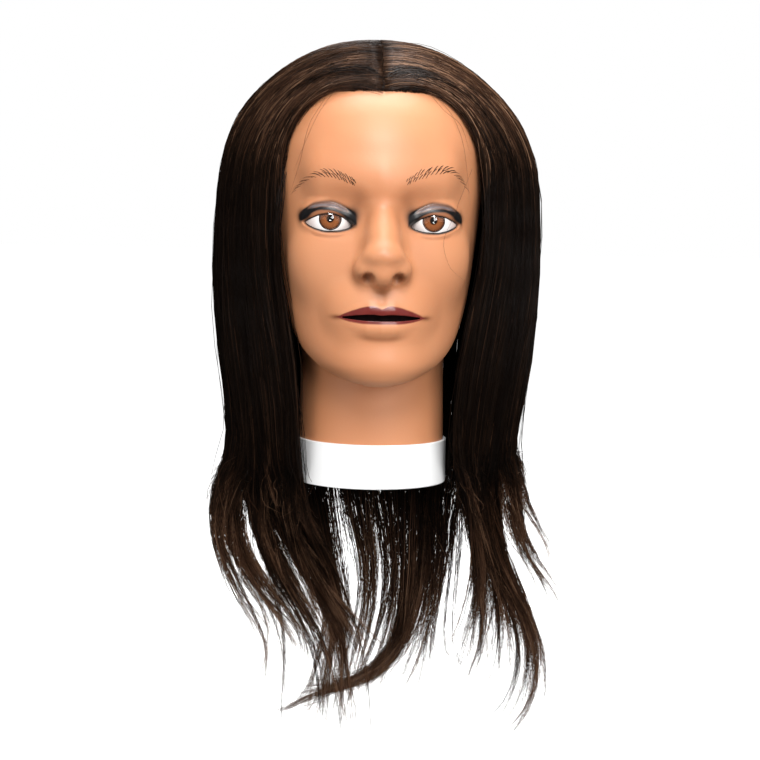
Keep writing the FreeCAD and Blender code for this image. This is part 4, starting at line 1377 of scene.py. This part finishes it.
# Each light's place and size in metres, its power, and whether it shows in reflections.
LIGHTS = [
    ("key", (0.02, -1.1, 1.08), 0.6, 19.0, True),
    ("front", (0.36, -1.3, 0.47), 0.5, 6.5, True),
    ("fill_left", (-0.95, -0.95, 0.1), 0.8, 5.0, False),
    ("fill_right", (0.95, -0.95, 0.1), 0.8, 5.0, False),
    ("top", (0.0, 0.15, 1.2), 0.8, 17, True),
    ("back", (0.3, 1.3, 0.6), 1.0, 10, True),
]
LIGHTS_AIM = Vector((0, 0, 0.15))


def make_world():
    """White to the camera, grey as a light and darker in reflections."""
    world = bpy.data.worlds.new("studio")
    bpy.context.scene.world = world
    world.use_nodes = True
    tree = world.node_tree
    seen = tree.nodes["Background"]
    seen.inputs["Color"].default_value = (1, 1, 1, 1)
    rays = add_node(tree, "LightPath").outputs
    strength = add_node(tree, "MapRange", Value=rays["Is Glossy Ray"], To_Min=SOFT_LIGHT, To_Max=SHINE_LIGHT)
    lit = add_node(tree, "Background", Strength=strength.outputs["Result"])
    choose = add_node(tree, "MixShader")
    for socket, value in zip(choose.inputs, (rays["Is Camera Ray"], lit.outputs[0], seen.outputs[0])):
        feed(tree, socket, value)
    tree.links.new(choose.outputs[0], tree.nodes["World Output"].inputs["Surface"])


def make_floor():
    bpy.ops.mesh.primitive_plane_add(size=FLOOR_SIZE, location=(0, 0, HAIR_TIP * MM - FLOOR_GAP))
    floor = bpy.context.object
    floor.name = "floor"
    material, _, _ = start_material(
        "floor_pale", Roughness=0.9, Base_Color=(0.9, 0.9, 0.9, 1), Emission_Color=(1, 1, 1, 1),
        Emission_Strength=0.75,
    )
    floor.data.materials.append(material)
    floor.visible_diffuse = False
    floor.visible_glossy = False


def make_lights():
    for name, place, size, power, shines in LIGHTS:
        data = bpy.data.lights.new(name, "AREA")
        data.size, data.energy = size, power
        lamp = bpy.data.objects.new(name, data)
        bpy.context.scene.collection.objects.link(lamp)
        lamp.location = place
        lamp.visible_glossy = shines
        lamp.rotation_euler = (LIGHTS_AIM - Vector(place)).to_track_quat("-Z", "Y").to_euler()


CAMERA_AT = Vector((-0.0625, -1.083, 0.164))
CAMERA_AIM = Vector((0.0, -0.085, 0.0737))
CAMERA_ROLL = 1.2  # degrees
CAMERA_LENS = 77.6


def make_camera():
    data = bpy.data.cameras.new("camera")
    data.lens = CAMERA_LENS
    camera = bpy.data.objects.new("camera", data)
    bpy.context.scene.collection.objects.link(camera)
    bpy.context.scene.camera = camera
    turn = (CAMERA_AIM - CAMERA_AT).to_track_quat("-Z", "Y").to_matrix().to_4x4()
    roll = Matrix.Rotation(math.radians(CAMERA_ROLL), 4, "Z")
    camera.matrix_world = Matrix.Translation(CAMERA_AT) @ turn @ roll


bpy.context.scene.view_settings.view_transform = "Standard"
make_world()
make_floor()
make_lights()
make_camera()
